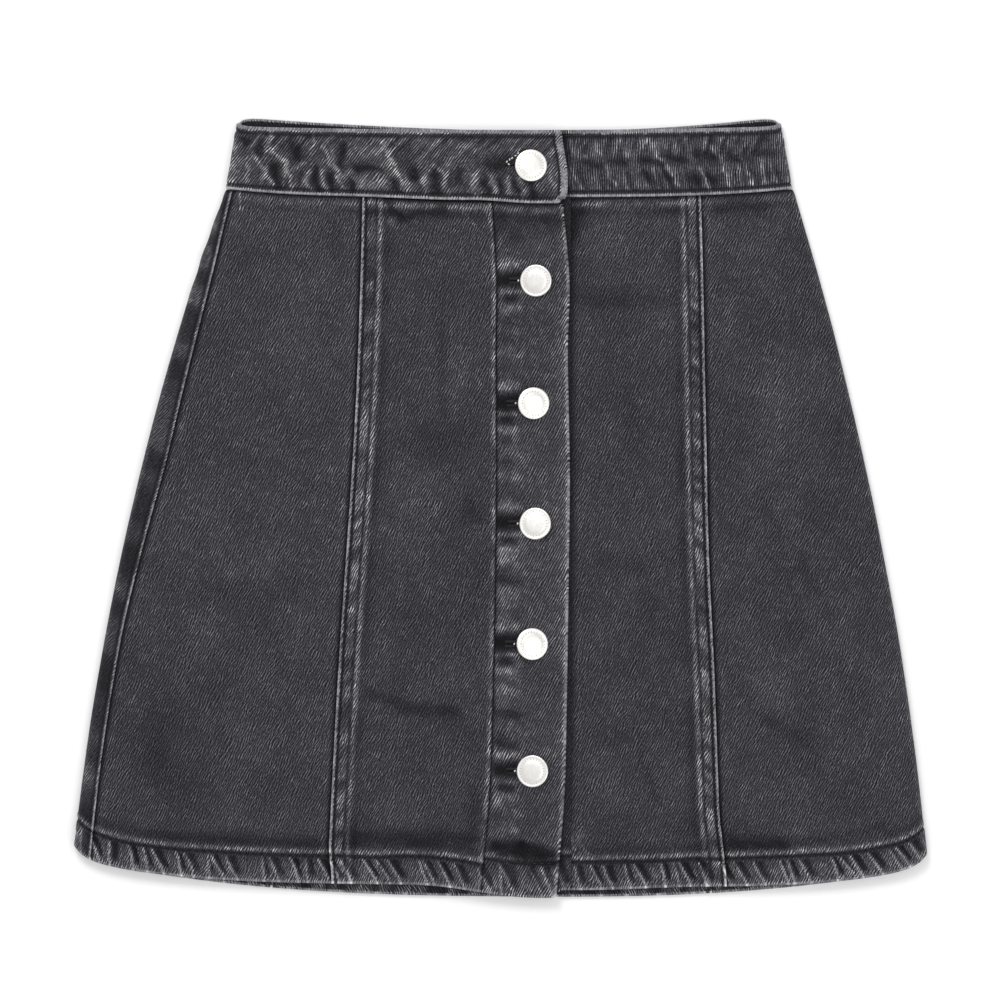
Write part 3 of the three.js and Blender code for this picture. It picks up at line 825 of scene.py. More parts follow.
# The soft creases and hollows that lying folded and being worn have left in the front panels: both ends
# by x and y, half width, and strength.
PANEL_CREASES = [
    (-152.8, 184.5, -149.5, 173, 0.7, 0.5), (-147.6, 177, -150, 172, 0.6, 0.4),
    (-24, 176, -16, 163, 0.9, 0.3), (-11, 175, -3, 166, 0.8, 0.3), (-68, 176, -64, 166, 1, 0.3),
    (-97, 163, -96, 146, 5, -0.1), (-150, 146, -112, 142, 4, -0.06), (-201, -105, -198, -150, 9, -0.09),
    (-185, -50, -120, -47, 9, -0.05), (-203, -189, -110, -194, 4, -0.13),
    (-67, 176, -56, 169, 2.6, -0.3), (-56, 169, -33, 174, 2.6, -0.3), (-35, 104, -34, 51, 2.5, -0.13),
    (-58, 40, -24, 40, 11, -0.08), (-79, -106, -62, -112, 3, -0.2), (-57, -116, -29, -118, 4, -0.26),
    (-18, 2, -12, -7, 4, -0.12), (-17, -163, -16, -190, 4, -0.2), (-87, -191, -18, -192, 5, -0.3),
    (44, 178, 43, 158, 5, -0.35), (38.5, -186, 43, -197, 1.1, 0.35), (44, -190, 49, -199, 1.2, 0.2),
    (52, 121, 69, 121, 6, -0.17), (81, 121, 101, 121, 6, -0.12), (58, -33, 78, -33, 6, -0.1),
    (84, -50, 88, -56, 6, -0.1), (81, -140, 90, -169, 2.5, -0.15), (63, -180, 108, -182, 9, -0.1),
    (117.5, 179, 119.5, 170, 0.8, 0.35), (128, 176, 151, 175, 5, -0.14), (153, 5, 160, -14, 5, -0.1),
    (174, -30, 191, -65, 3.5, -0.1), (139, -105, 156, -123, 4, -0.1), (156, -123, 174, -134, 4, -0.1),
    (133, -194, 162, -195, 4, -0.3), (162, -195, 222, -186, 3, -0.13), (156, 92, 157, 28, 8, 0.05),
    (180, -30, 183, -60, 8, 0.05), (162, -105, 203, -59, 10, 0.04), (191, -128, 196, -150, 9, 0.05),
    (-120, -5, -128, 40, 12, 0.04), (-42, 10, -42, -40, 12, 0.04), (66, 156, 84, 150, 12, 0.05),
]  # fmt: skip


def finish_panel(grid, edges, seed):
    """Gives a panel its seams, hem, creases and grain, sews it and turns its hem under.

    Its edges are the two reliefs beside its first and its last column. The waistband's seam shows more
    on panels with topstitching.
    """
    beside = list(zip(edges, (grid.left, grid.right)))
    for number, (edge, distance) in enumerate(beside):
        edge(grid, distance, seed + 10 * number)
    hem(grid, seed + 20)
    waist_edge(grid, seed + 30, 1.0 if topstitched_edge in edges else 0.4)
    lie_of_the_cloth(grid, seed + 40)
    press(grid, PANEL_CREASES, 1.6, 1.0, wander=2.0)
    lay_grain(grid, PANEL_TWILL)
    settle(grid)
    for edge, distance in beside:
        if edge is topstitched_edge:
            sew_along(grid, distance, FIRST_ROW)
            sew_along(grid, distance, SECOND_ROW)
    sew_across(grid, grid.bottom, HEM_DEPTH)
    # The hem's inner layer, seen below the front's hem, is capped at an uneven tone that is partly painted
    # shade.
    return turn_under(grid, axis=0, inner_wear_and_shade=0.55 * uneven(grid.left[-1], 4, seed + 50) + 0.1)


def painted_shadow_beside_placket(grid):
    """Paints shade on the cloth that the placket covers, and a painted shadow beside its edge that is wider
    near the waist.
    """
    beyond = np.maximum(grid.points[..., 0] - table(grid.down, PLACKET_RIGHT), 0)
    reach = 4.4 + 2.2 * bell(grid.top, 0, 18)
    add_relief(grid, 0, -0.32 * bell(beyond, 0, reach) * on_front(grid))


def front_side_left():
    rows = panel_rows(body=2.2)
    start, end = side_seam(rows.down, -1) + TO_SEAM, left_princess(rows.down) - TO_SEAM
    grid = lay_out(rows, flat(on_left_front, PANELS, rows, start, end))
    return finish_panel(grid, (sunk_edge, sunk_edge), 100)


def front_centre_left():
    rows = panel_rows()
    start, end = left_princess(rows.down) + TO_SEAM, table(rows.down, PLACKET_LEFT) - TO_SEAM
    grid = lay_out(rows, flat(on_left_front, PANELS, rows, start, end, (NARROW, PLAIN)))
    return finish_panel(grid, (topstitched_edge, soft_fold), 200)


def front_centre_right():
    rows = panel_rows()
    start, end = UNDERLAP_SEAM + 0 * rows.down, right_princess(rows.down) - TO_SEAM
    grid = lay_out(rows, flat(on_right_front, PANELS, rows, start, end, (PLAIN, NARROW)))
    painted_shadow_beside_placket(grid)
    return finish_panel(grid, (level_seam, topstitched_edge), 300)


def front_side_right():
    rows = panel_rows(body=2.2)
    start, end = right_princess(rows.down) + TO_SEAM, side_seam(rows.down, 1) + TO_SEAM
    turn = fold_x(PANELS, rows.down, 1)
    grid = lay_out(
        rows,
        flat(on_right_front, PANELS, rows, start, turn, (PLAIN, PLAIN[:1])),
        fold_stretch(PANELS, rows, 1, -FOLD_TURNS),
        flat(on_back, PANELS, rows, turn, end, (PLAIN[:1], PLAIN[:3])),
    )
    return finish_panel(grid, (sunk_edge, sunk_edge), 400)


def back_side_right():
    rows = panel_rows(body=2.4)
    start, end = side_seam(rows.down, 1) - TO_SEAM, back_right_seam(rows.down) + TO_SEAM
    grid = lay_out(rows, flat(on_back, PANELS, rows, start, end, (NARROW, PLAIN), *BACK_SPACING))
    return finish_panel(grid, (seam_ridge, sunk_edge), 500)


def back_centre():
    rows = panel_rows(body=2.4)
    start, end = back_right_seam(rows.down) - TO_SEAM, back_left_seam(rows.down) + TO_SEAM
    grid = lay_out(rows, flat(on_back, PANELS, rows, start, end, (NARROW, NARROW), *BACK_SPACING))
    return finish_panel(grid, (topstitched_edge, topstitched_edge), 600)


def back_side_left():
    rows = panel_rows(body=1.6)
    start, end = back_left_seam(rows.down) - TO_SEAM, side_seam(rows.down, -1) - TO_SEAM
    turn = fold_x(PANELS, rows.down, -1)
    grid = lay_out(
        rows,
        flat(on_back, PANELS, rows, start, turn, (PLAIN, PLAIN[:1]), *BACK_SPACING),
        fold_stretch(PANELS, rows, -1, FOLD_TURNS),
        flat(on_left_front, PANELS, rows, turn, end, (PLAIN[:1], NARROW[:3]), main_every=1),
    )
    return finish_panel(grid, (sunk_edge, seam_ridge), 700)


# ---- Button strips ----

HOLE_LENGTH = 15.0  # from a button's middle to the far end of its buttonhole
SHANK_ROOM = 3.6  # radius of the buttonhole where it is held open by the shank
SLIT_HALF = 0.45


def buttonhole(centre):
    """Tells which face centres a buttonhole takes away: round at the shank, with a slit to its left."""
    x, y = centre

    def taken(centres):
        right = centres[:, 0] - x
        up = centres[:, 1] - y
        slit = (right > -HOLE_LENGTH) & (right < 0) & (np.abs(up) < SLIT_HALF)
        return slit | (np.hypot(right, up) < SHANK_ROOM)

    return taken


def buttonhole_strain(grid, centre, seed):
    """The hollow at a buttonhole's end, the drawn ridges above and below it, and the button's dent."""
    right = grid.points[..., 0] - centre[0]
    up = grid.points[..., 1] - centre[1]
    hollow = plateau(right, -22.5, -7, 3.5) * bell(up, 0.8, 4.2)
    under = plateau(right, -19, -11, 4) * bell(up, -10, 2.6)
    ridges = bell(up, 9.5, 2.8) + 0.9 * bell(up, -6.4, 1.6) + 0.9 * bell(up, -15.5, 2.6)
    drawn = plateau(right, -23, -8, 5) * ridges
    dent = bell(np.hypot(right, up), 0, 12)
    rough = 1 + 0.3 * uneven(grid.points[..., 0] + grid.points[..., 1], 3, seed)
    height = 0.45 * drawn * rough - 0.9 * hollow - 0.4 * under - 0.15 * dent
    # Painted shade darkens the hollow and the fold under the buttonhole. The drawn ridges are rubbed pale.
    add_relief(grid, height, 0.34 * drawn * rough - 0.85 * hollow - 0.35 * under)


# The puckers along the placket's seam, by y and strength: above 0 they stand up.
PLACKET_PUCKERS = [
    (158, -0.5), (104, 0.4), (89, 0.6), (76, -0.3), (34, 0.5), (19, 0.6), (8, -0.3), (-30, 0.6),
    (-41, -0.8), (-50, 0.5), (-60, -0.3), (-96, 0.5), (-106, 0.6), (-119, -1.0), (-128, 0.3),
    (-137, -0.8), (-174, 0.5), (-186, 0.5),
]  # fmt: skip


def placket_puckers(grid, seed):
    """Puckers along the placket's seam, and the slanted hollow above its hem."""
    # Painted shade darkens the seam's edge, the sunk puckers, the hollows between puckers and the slanted
    # hollow above the hem.
    sunk_edge(grid, grid.left * 1.8, seed, 0.55)
    rows = [(-1, y + 1, 9, y - 1.5, 3.2, strength) for y, strength in PLACKET_PUCKERS]
    press(grid, rows, 0.45, 0.32, wander=1.5)
    pucker = uneven(grid.top + 0.5 * grid.left, 5.5, seed + 1)
    beside = plateau(grid.left, 1.6, 8.5, 3.0)
    add_relief(grid, 0.2 * beside * pucker, beside * np.clip(0.22 * pucker, -0.12, 0.22))
    slant = grid.bottom - STRIP_HEM_DEPTH - 6.5 + 0.16 * grid.left
    hollow = bell(slant, 0, 3.0) * plateau(grid.left, 3, 48, 6)
    add_relief(grid, -0.8 * hollow, -0.55 * hollow)


# The creases at the placket's foot: both ends by x and y, half width, and strength.
PLACKET_CREASES = [
    (-3, -194, 12, -196, 2.6, -0.4),
    (12, -196, 29, -201, 3.4, -0.55),
    (-3, -199, 10, -201, 1.4, 0.25),
    (6, -207, 8, -216, 2.0, -0.25),
    (18, -208, 19, -215, 2.2, -0.25),
]


def button_placket():
    """The strip that shows, with the buttonholes, folded under at its free right edge."""
    rows = panel_rows(body=1.0)
    left = table(rows.down, PLACKET_LEFT) + TO_SEAM
    right = table(rows.down, PLACKET_RIGHT) - FOLD_RADIUS
    grid = lay_out(rows, flat(on_placket, PANELS, rows, left, right, step=0.75, main_every=1))
    placket_puckers(grid, 800)
    rubbed_edge(grid, grid.right, 810)
    for seed, name in enumerate(BUTTONS[1:], 820):
        buttonhole_strain(grid, button_centre(name), seed)
    hem(grid, 830, STRIP_HEM_DEPTH, 0.7)
    waist_edge(grid, 840, 0.8)
    # Painted shade darkens the placket's top, below the waistband.
    shade_under_band = bell(grid.top, 10, 9)
    lie_of_the_cloth(grid, 850)
    add_relief(grid, -0.2 * shade_under_band, 0.05 - 0.22 * shade_under_band)
    press(grid, PLACKET_CREASES, 1.0, 1.0, wander=1.5)
    lay_grain(grid, STRIP_TWILL)
    settle(grid)
    sew_across(grid, grid.bottom, STRIP_HEM_DEPTH)
    turn_under(grid, axis=1, keep=40, every=4)
    return turn_under(grid, axis=0)


def button_underlap():
    """The strip under it, folded under at its left edge, that carries the buttons."""
    rows = panel_rows(body=3.0)
    left, right = UNDERLAP_EDGE + FOLD_RADIUS + 0 * rows.down, UNDERLAP_SEAM + 0 * rows.down
    grid = lay_out(rows, flat(on_underlap, PANELS, rows, left, right, step=1.2, main_every=1))
    painted_shadow_beside_placket(grid)
    hem(grid, 930, STRIP_HEM_DEPTH, 0.8)
    level_seam(grid, grid.right, 940)
    lay_grain(grid, STRIP_TWILL)
    settle(grid)
    turn_under(grid, axis=1, at_start=True, keep=34, every=3)
    return turn_under(grid, axis=0)


# ---- Waistband ----

BAND_ROWS = 47
TOP_ROW = 3.4  # from the waistband's upper edge to its topstitching
BOTTOM_ROW = 2.6  # from its lower edge
TAB_ROW = 4.4  # from the tab's end
CORNER_RADIUS = 5.5  # of the tab's lower corner
TAB_LEAN = 3.0  # how far the tab's end is drawn in at its corners

# The creases that the topstitching drew up in the waistband's front: both ends by x and y, half width, and
# strength. Above 0 is a rubbed crest and below it a hollow, darkened with painted shade. The left half comes
# first.
BAND_CREASES = [
    (-140, 217, -145, 209, 1.3, 0.8), (-132, 216, -136, 207, 1.3, 0.9),
    (-133, 207, -125, 201, 1.4, 0.9), (-125, 201, -121, 186, 1.4, 0.9),
    (-115, 202, -125, 193, 1.3, 0.7), (-146, 204, -148, 189, 1.3, 0.7),
    (-143, 203, -132, 188, 1.5, 0.9), (-111, 196, -114, 190, 1.5, 0.8),
    (-114, 190, -110, 185, 1.5, 0.8), (-104, 196, -101, 185, 1.4, 0.8),
    (-108, 217, -109, 208, 1.2, 0.6), (-97, 216, -103, 209, 1.1, 0.7), (-103, 209, -99, 200, 1.5, 0.7),
    (-99, 210, -96, 198, 1.3, 0.6), (-96, 198, -91, 186, 1.5, 0.9), (-87, 198, -94, 191, 1.4, 0.7),
    (-80, 208, -68, 206, 4.5, 0.45), (-68, 213, -64, 202, 1.4, 0.8), (-64, 202, -57, 189, 1.5, 0.9),
    (-82, 188, -66, 188, 3.4, 0.6), (-54, 191, -54, 184, 1.7, 0.9), (-44, 191, -43, 184, 1.7, 0.8),
    (-47, 190, -38, 199, 1.2, 0.7), (-38, 199, -33, 195, 1.2, 0.7), (-32, 192, -31, 183, 1.9, 0.8),
    (-15, 193, -14, 183, 2.4, 0.9), (-4, 191, -3, 183, 1.5, 0.8), (4, 191, 5, 182, 1.5, 0.8),
    (12, 190, 14, 181, 1.7, 0.8), (-56, 215, -36, 212, 3.4, 0.4), (-28, 212, -12, 208, 3.2, 0.4),
    (28, 211, 30, 190, 3, 0.35), (39, 215, 46, 200, 1.7, 0.45), (54, 215, 58, 205, 1.6, 0.5),
    (69, 216, 72, 205, 1.6, 0.5), (82, 215, 91, 208, 2.6, 0.5), (99, 215, 102, 206, 1.6, 0.5),
    (107, 216, 112, 202, 1.6, 0.5), (61, 199, 67, 186, 1.2, 0.8), (91, 206, 96, 198, 1.2, 0.8),
    (96, 198, 103, 188, 1.2, 0.8), (116, 197, 121, 185, 1.2, 0.8), (122, 211, 127, 201, 1.2, 0.7),
    (129, 199, 134, 186, 1.2, 0.8), (140, 203, 147, 187, 1.2, 0.7), (151, 204, 153, 188, 1.3, 0.6),
    (-149, 213, -149, 211, 2.8, -0.9), (-139, 213, -140, 205, 2.2, -0.9),
    (-132, 198, -129, 188, 2.4, -1), (-120, 210, -117, 205, 3, -0.9), (-107, 198, -106, 185, 2, -1),
    (-98, 194, -97, 185, 1.9, -1), (-92, 210, -93, 199, 2.2, -0.9), (-87, 189, -86, 184, 2, -1),
    (-87, 198, -70, 196, 1.7, -0.9), (-62, 190, -61, 185, 2.2, -0.9), (-51, 197, -50, 192, 2.6, -0.9),
    (-38, 196, -37, 184, 2.8, -1), (-24, 196, -23, 188, 3, -0.9), (-9, 190, -8, 184, 2.2, -1),
    (-1, 189, 0, 183, 1.8, -0.9), (8, 189, 9, 183, 2, -0.9), (18, 188, 19, 182, 2.2, -0.9),
    (-6, 199, 6, 200, 4.2, -0.9), (45, 201, 59, 199, 2.6, -0.8), (64, 202, 72, 201, 2.4, -0.8),
    (81, 202, 93, 200, 2.6, -0.8), (97, 205, 106, 202, 2.6, -0.8), (114, 206, 123, 204, 2.6, -0.8),
    (133, 204, 139, 202, 2.6, -0.7), (142, 207, 160, 205, 2.2, -0.6), (82, 194, 89, 190, 2.4, -0.8),
    (94, 193, 99, 190, 2.4, -0.8), (111, 192, 115, 189, 2.2, -0.8), (119, 193, 125, 190, 2.2, -0.8),
    (-154, 208, -157, 188, 4, 0.4),
]  # fmt: skip


def waistband():
    """One strip all the way round: from its end under the tab, round the back, to the end of the tab."""
    ends = FOLD_RADIUS / (FRONT_TOP_Y - WAIST_Y)
    up = np.linspace(1 - ends, ends, BAND_ROWS)[:, None]
    rows = SimpleNamespace(down=up, fine=np.ones(len(up), bool))
    right_turn, left_turn = fold_x(BAND, up, 1), fold_x(BAND, up, -1)
    start = BAND_UNDER_END + 0 * up
    end = TAB_END - TAB_LEAN + 1.2 * TAB_LEAN * hump((up - 0.3) / 0.75)
    first = PLAIN[:1]
    grid = lay_out(
        rows,
        flat(on_right_front, BAND, rows, start, right_turn, (PLAIN, first), main_every=1),
        fold_stretch(BAND, rows, 1, -FOLD_TURNS),
        flat(on_back, BAND, rows, right_turn, left_turn, (first, first), step=2.8, main_every=1),
        fold_stretch(BAND, rows, -1, FOLD_TURNS),
        flat(on_left_front, BAND, rows, left_turn, end, (first, PLAIN), main_every=1),
    )
    grid.top = grid.top + FOLD_RADIUS
    grid.right = grid.right + FOLD_RADIUS
    round_tab_corner(grid)
    band_relief(grid)
    add_relief(grid, 0, 0.18 * np.abs(grid.out[..., 0]))
    grain_of_two_halves(grid)
    settle(grid)
    sew_across(grid, grid.top, TOP_ROW)
    sew_across(grid, grid.bottom, BOTTOM_ROW)
    sew_along(grid, grid.right, TAB_ROW, CORNER_RADIUS)
    turn_under(grid, axis=1, keep=10, every=2)
    turn_under(grid, axis=0, keep=10, every=2)
    # Its inner layer at the upper edge, seen in the waist's opening, is painted dark as shade.
    return turn_under(grid, axis=0, at_start=True, keep=38, every=3, inner_wear_and_shade=-0.42)


def into_corner(from_end, from_low):
    """How far points are past the middle of a corner's circle: to its end, to its low side, and in all."""
    short_end = np.maximum(CORNER_RADIUS - from_end, 0)
    short_low = np.maximum(CORNER_RADIUS - from_low, 0)
    return short_end, short_low, np.hypot(short_end, short_low)


def round_tab_corner(grid):
    """Draws the tab's square lower corner in onto a circle."""
    from_end, from_low, away = into_corner(grid.right, grid.bottom)
    kept = np.maximum(from_end, from_low) / np.maximum(away, 1e-6)
    inwards = np.where((from_end > 0) & (from_low > 0), 1 - kept, 0)
    grid.points[..., 0] -= inwards * from_end
    grid.points[..., 1] += inwards * from_low


def band_relief(grid):
    """The waistband's two edges and topstitching, and the puckers that the stitching drew up."""
    on_left = np.where(grid.left > grid.right, 1, 0)
    from_tab_row, from_low_row = grid.right - TAB_ROW, grid.bottom - BOTTOM_ROW
    away = into_corner(from_tab_row, from_low_row)[2]
    from_rows = np.where(away > CORNER_RADIUS, CORNER_RADIUS - away, np.minimum(from_tab_row, from_low_row))
    scallop = 0.4 * uneven(grid.left, 3, 1001)
    edge = plateau(grid.top, -2, TOP_ROW - 1.0 + scallop, 0.5)
    by_tab = from_tab_row < from_low_row
    border = plateau(from_rows + np.where(by_tab, 0.6, 1.3), -20, 0, 0.5) * np.where(by_tab, 0.7, 0.92)
    low_row = bell(from_rows, 0.4, 0.8)
    top_row = bell(grid.top, TOP_ROW + 0.7, 1.1)
    height = -0.5 * np.maximum(top_row, low_row)
    ticks = 0.4 * uneven(grid.top + 0.8 * grid.right, 2.6, 1007) * bell(grid.right, 2.8, 2.2)
    dash = 0.15 * uneven(grid.left, 2.6, 1005)
    wear_and_shade = np.maximum(edge * (0.74 + 0.12 * uneven(grid.left, 7, 1006)), border * (1 + ticks + dash))
    # Painted shade darkens both rows of topstitching.
    wear_and_shade = wear_and_shade - 0.38 * top_row - 0.5 * low_row
    inside = plateau(grid.top, TOP_ROW + 1.4, 60, 2) * plateau(from_rows, 1.4, 60, 1.2)
    # The ropes and pockets are rubbed pale on their crests, and painted shade darkens the hollows beside
    # them.
    right, line = slanted_lines(grid.left, grid.bottom, 6.5, -0.35, 1010)
    rope = line * bell(right, 0, 0.8) * plateau(grid.bottom, 0, 17, 8)
    sunk = line * bell(right, 2.6, 1.6) * plateau(grid.bottom, 0, 15, 8)
    rough = cloud(grid.left, grid.bottom, 6, 5, 1020)
    right, line = slanted_lines(grid.left, -grid.top, 7.0, 0.5, 1030)
    pockets = line * (bell(right, 0, 0.9) - bell(right, 3, 2.0)) * plateau(grid.top, 0, 15, 7)
    filler = np.where(on_left, 0.5, 0.65) * (rope - sunk) + pockets + 0.38 * rough
    add_relief(grid, height + 0.4 * inside * filler, wear_and_shade + inside * (0.4 * filler + 0.02))
    press(grid, BAND_CREASES, 0.7, 0.5, wander=1.3)
    # A painted shadow beside the tab's end, and painted shade on the band's end under the tab.
    past_tab = np.maximum(grid.points[..., 0] - TAB_END, 0)
    add_relief(grid, 0, -0.6 * on_front(grid) * (1 - on_left) * bell(past_tab, 0, 3.0))


def grain_of_two_halves(grid):
    """From the back's middle, the right half's twill runs straight up the band and the left's slants."""
    lay_grain(grid, BAND_RIGHT_TWILL)
    straight = grid.uv
    lay_grain(grid, BAND_LEFT_TWILL, from_end=True)
    on_left_half = grid.left > grid.right
    grid.uv = np.where(on_left_half[..., None], grid.uv, straight)


# ---- Materials ----


def colour(hex_value):
    """An sRGB hex colour as linear RGBA."""
    channels = [int(hex_value[i : i + 2], 16) / 255 for i in (0, 2, 4)]
    linear = [c / 12.92 if c <= 0.04045 else ((c + 0.055) / 1.055) ** 2.4 for c in channels]
    return (*linear, 1.0)


def new_material(name):
    material = bpy.data.materials.new(name)
    material.use_nodes = True
    return material, material.node_tree, material.node_tree.nodes["Principled BSDF"]


def add_node(tree, kind, inputs=None, **settings):
    """Adds a node. An input is a plain value or the output of another node."""
    node = tree.nodes.new(kind)
    for name, value in settings.items():
        setattr(node, name, value)
    for socket, value in (inputs or {}).items():
        if isinstance(value, bpy.types.NodeSocket):
            tree.links.new(value, node.inputs[socket])
        else:
            node.inputs[socket].default_value = value
    return node


TWILL_PITCH = 1.32  # between the twill's lines, about twice the real pitch, so that they show
TONES = [
    (0.0, "0D0D10"),
    (0.2, "232227"),
    (0.4, "403F44"),
    (0.6, "66656A"),
    (0.8, "9C9B9F"),
    (1.0, "DAD8D6"),
]


def washed_denim(name, tone, contrast, packet, drawn_out, patchy):
    """Washed black denim: a matt 3/1 twill whose black warp has rubbed down to its pale core.

    The eye sees short pale slanted strokes, faint on the flat cloth and strong on worn folds. tone is how
    pale the cloth is overall and contrast how pale its strokes are. Strokes of one packet, in millimetres,
    are alike, and run drawn_out times as far. patchy is how much they vary from place to place.
    """
    material, tree, shader = new_material(name)
    grain = add_node(tree, "ShaderNodeUVMap", uv_map="grain").outputs["UV"]
    place = add_node(tree, "ShaderNodeTexCoord").outputs["Object"]
    wear_and_shade = add_node(tree, "ShaderNodeAttribute", attribute_name="wear_and_shade").outputs["Fac"]

    drift = add_node(tree, "ShaderNodeTexNoise", {"Vector": grain, "Scale": 1 / (11 * MM), "Detail": 1.0})
    inputs = {0: drift.outputs["Color"], 1: (1.0 * MM, 1.0 * MM, 0), 2: grain}
    bent = add_node(tree, "ShaderNodeVectorMath", inputs, operation="MULTIPLY_ADD").outputs[0]
    inputs = {0: bent, 1: (1, 1 / drawn_out, 0)}
    lines = add_node(tree, "ShaderNodeVectorMath", inputs, operation="MULTIPLY").outputs[0]
    inputs = {
        "Vector": lines,
        "Scale": 1 / (packet * MM),
        "Frequency": packet / TWILL_PITCH,
        "Anisotropy": 0.96,
        "Orientation": 0.0,
    }
    strokes = add_node(tree, "ShaderNodeTexGabor", inputs, gabor_type="2D").outputs["Value"]
    inputs = {0: strokes, 1: 0.32, 2: 0.68, 3: -contrast, 4: contrast}
    twill = add_node(tree, "ShaderNodeMapRange", inputs, interpolation_type="SMOOTHSTEP").outputs[0]
    rubbing = add_node(tree, "ShaderNodeTexNoise", {"Vector": place, "Scale": 1 / (5 * MM)}).outputs["Fac"]
    inputs = {0: rubbing, 1: 0.3, 2: 0.7, 3: 1 - patchy, 4: 1 + patchy}
    patch = add_node(tree, "ShaderNodeMapRange", inputs).outputs[0]
    inputs = {0: wear_and_shade, 1: -0.4, 2: 0.5, 3: 0.4, 4: 1.7}
    bite = add_node(tree, "ShaderNodeMapRange", inputs).outputs[0]
    inputs = {0: wear_and_shade, 1: 0.45, 2: 0.72, 3: 1.0, 4: 0.1}
    worn_through = add_node(tree, "ShaderNodeMapRange", inputs).outputs[0]
    inputs = {0: patch, 1: worn_through}
    patched = add_node(tree, "ShaderNodeMath", inputs, operation="MULTIPLY").outputs[0]
    patched = add_node(tree, "ShaderNodeMath", {0: twill, 1: patched}, operation="MULTIPLY").outputs[0]

    slub = add_node(tree, "ShaderNodeTexNoise", {"Vector": lines, "Scale": 1 / (0.8 * MM), "Detail": 1.0})
    inputs = {0: slub.outputs["Fac"], 1: 0.3, 2: 0.7, 3: -0.1, 4: 0.1}
    fleck = add_node(tree, "ShaderNodeMapRange", inputs, clamp=False).outputs[0]
    inputs = {0: patched, 1: bite, 2: fleck}
    weave = add_node(tree, "ShaderNodeMath", inputs, operation="MULTIPLY_ADD").outputs[0]
    clouding = add_node(tree, "ShaderNodeTexNoise", {"Vector": place, "Scale": 1 / (28 * MM), "Detail": 3.0})
    inputs = {0: clouding.outputs["Fac"], 1: 0.3, 2: 0.7, 3: tone - 0.03, 4: tone + 0.03}
    wash = add_node(tree, "ShaderNodeMapRange", inputs).outputs[0]
    # Rubbed values of the attribute make the cloth pale, and its values below 0 are painted shade that makes
    # it darker.
    inputs = {0: wear_and_shade, 1: 0.45, 2: wash}
    shade = add_node(tree, "ShaderNodeMath", inputs, operation="MULTIPLY_ADD").outputs[0]
    total = add_node(tree, "ShaderNodeMath", {0: shade, 1: weave}, operation="ADD").outputs[0]
    ramp = add_node(tree, "ShaderNodeValToRGB", {0: total})
    stops = ramp.color_ramp.elements
    stops[0].position, stops[0].color = TONES[0][0], colour(TONES[0][1])
    stops[1].position, stops[1].color = TONES[-1][0], colour(TONES[-1][1])
    for position, hex_value in TONES[1:-1]:
        stops.new(position).color = colour(hex_value)
    tree.links.new(ramp.outputs["Color"], shader.inputs["Base Color"])
    bump = add_node(tree, "ShaderNodeBump", {"Strength": 0.5, "Distance": 0.2 * MM, "Height": twill})
    tree.links.new(bump.outputs["Normal"], shader.inputs["Normal"])
    shader.inputs["Roughness"].default_value = 0.95
    shader.inputs["Specular IOR Level"].default_value = 0.15
    shader.inputs["Sheen Weight"].default_value = 0.03
    shader.inputs["Sheen Roughness"].default_value = 0.6
    return material


def sewing_thread(name, dark, light):
    """Core-spun polyester sewing thread: matt, with a little lint, and greyed by the wash."""
    material, tree, shader = new_material(name)
    place = add_node(tree, "ShaderNodeTexCoord").outputs["Object"]
    lint = add_node(tree, "ShaderNodeTexNoise", {"Vector": place, "Scale": 1 / (0.7 * MM)}).outputs["Fac"]
    ramp = add_node(tree, "ShaderNodeValToRGB", {0: lint})
    ramp.color_ramp.elements[0].color = colour(dark)
    ramp.color_ramp.elements[1].color = colour(light)
    tree.links.new(ramp.outputs["Color"], shader.inputs["Base Color"])
    shader.inputs["Roughness"].default_value = 0.85
    return material


def satin_nickel(name, shade, roughness):
    """Pressed brass with satin nickel plate: bright, with a soft reflection and a faintly clouded skin."""
    material, tree, shader = new_material(name)
    place = add_node(tree, "ShaderNodeTexCoord").outputs["Object"]
    inputs = {"Vector": place, "Scale": 1 / (1.6 * MM), "Detail": 3.0}
    skin = add_node(tree, "ShaderNodeTexNoise", inputs).outputs["Fac"]
    rough = add_node(
        tree, "ShaderNodeMapRange", {0: skin, 1: 0.3, 2: 0.7, 3: roughness - 0.06, 4: roughness + 0.06}
    ).outputs[0]
    bump = add_node(tree, "ShaderNodeBump", {"Strength": 0.12, "Distance": 0.05 * MM, "Height": skin})
    tree.links.new(rough, shader.inputs["Roughness"])
    tree.links.new(bump.outputs["Normal"], shader.inputs["Normal"])
    shader.inputs["Base Color"].default_value = colour(shade)
    shader.inputs["Metallic"].default_value = 1.0
    return material


# tone, contrast, packet, drawn_out, patchy
PANEL_DENIM = washed_denim("washed black denim", 0.293, 0.22, 1.9, 1.5, 0.45)
STRIP_DENIM = washed_denim("washed black denim, pressed strip", 0.29, 0.23, 2.6, 1.8, 0.4)
BAND_DENIM = washed_denim("washed black denim, waistband", 0.31, 0.25, 2.8, 1.8, 0.4)
BLACK_THREAD = sewing_thread("black sewing thread", "0E0E11", "2E2D31")
PALE_THREAD = sewing_thread("raw white thread ends", "B9B7B2", "F4F2EE")
BUTTON_METAL = satin_nickel("satin nickel plate", "F4F2EE", 0.42)
BEAD_METAL = satin_nickel("worn nickel plate", "D2D0CC", 0.5)
TACK_METAL = satin_nickel("plain nickel plate", "C9C7C4", 0.4)

# ---- Threads ----


STITCH_TAPER = 0.3  # how much thinner a stitch is at its ends


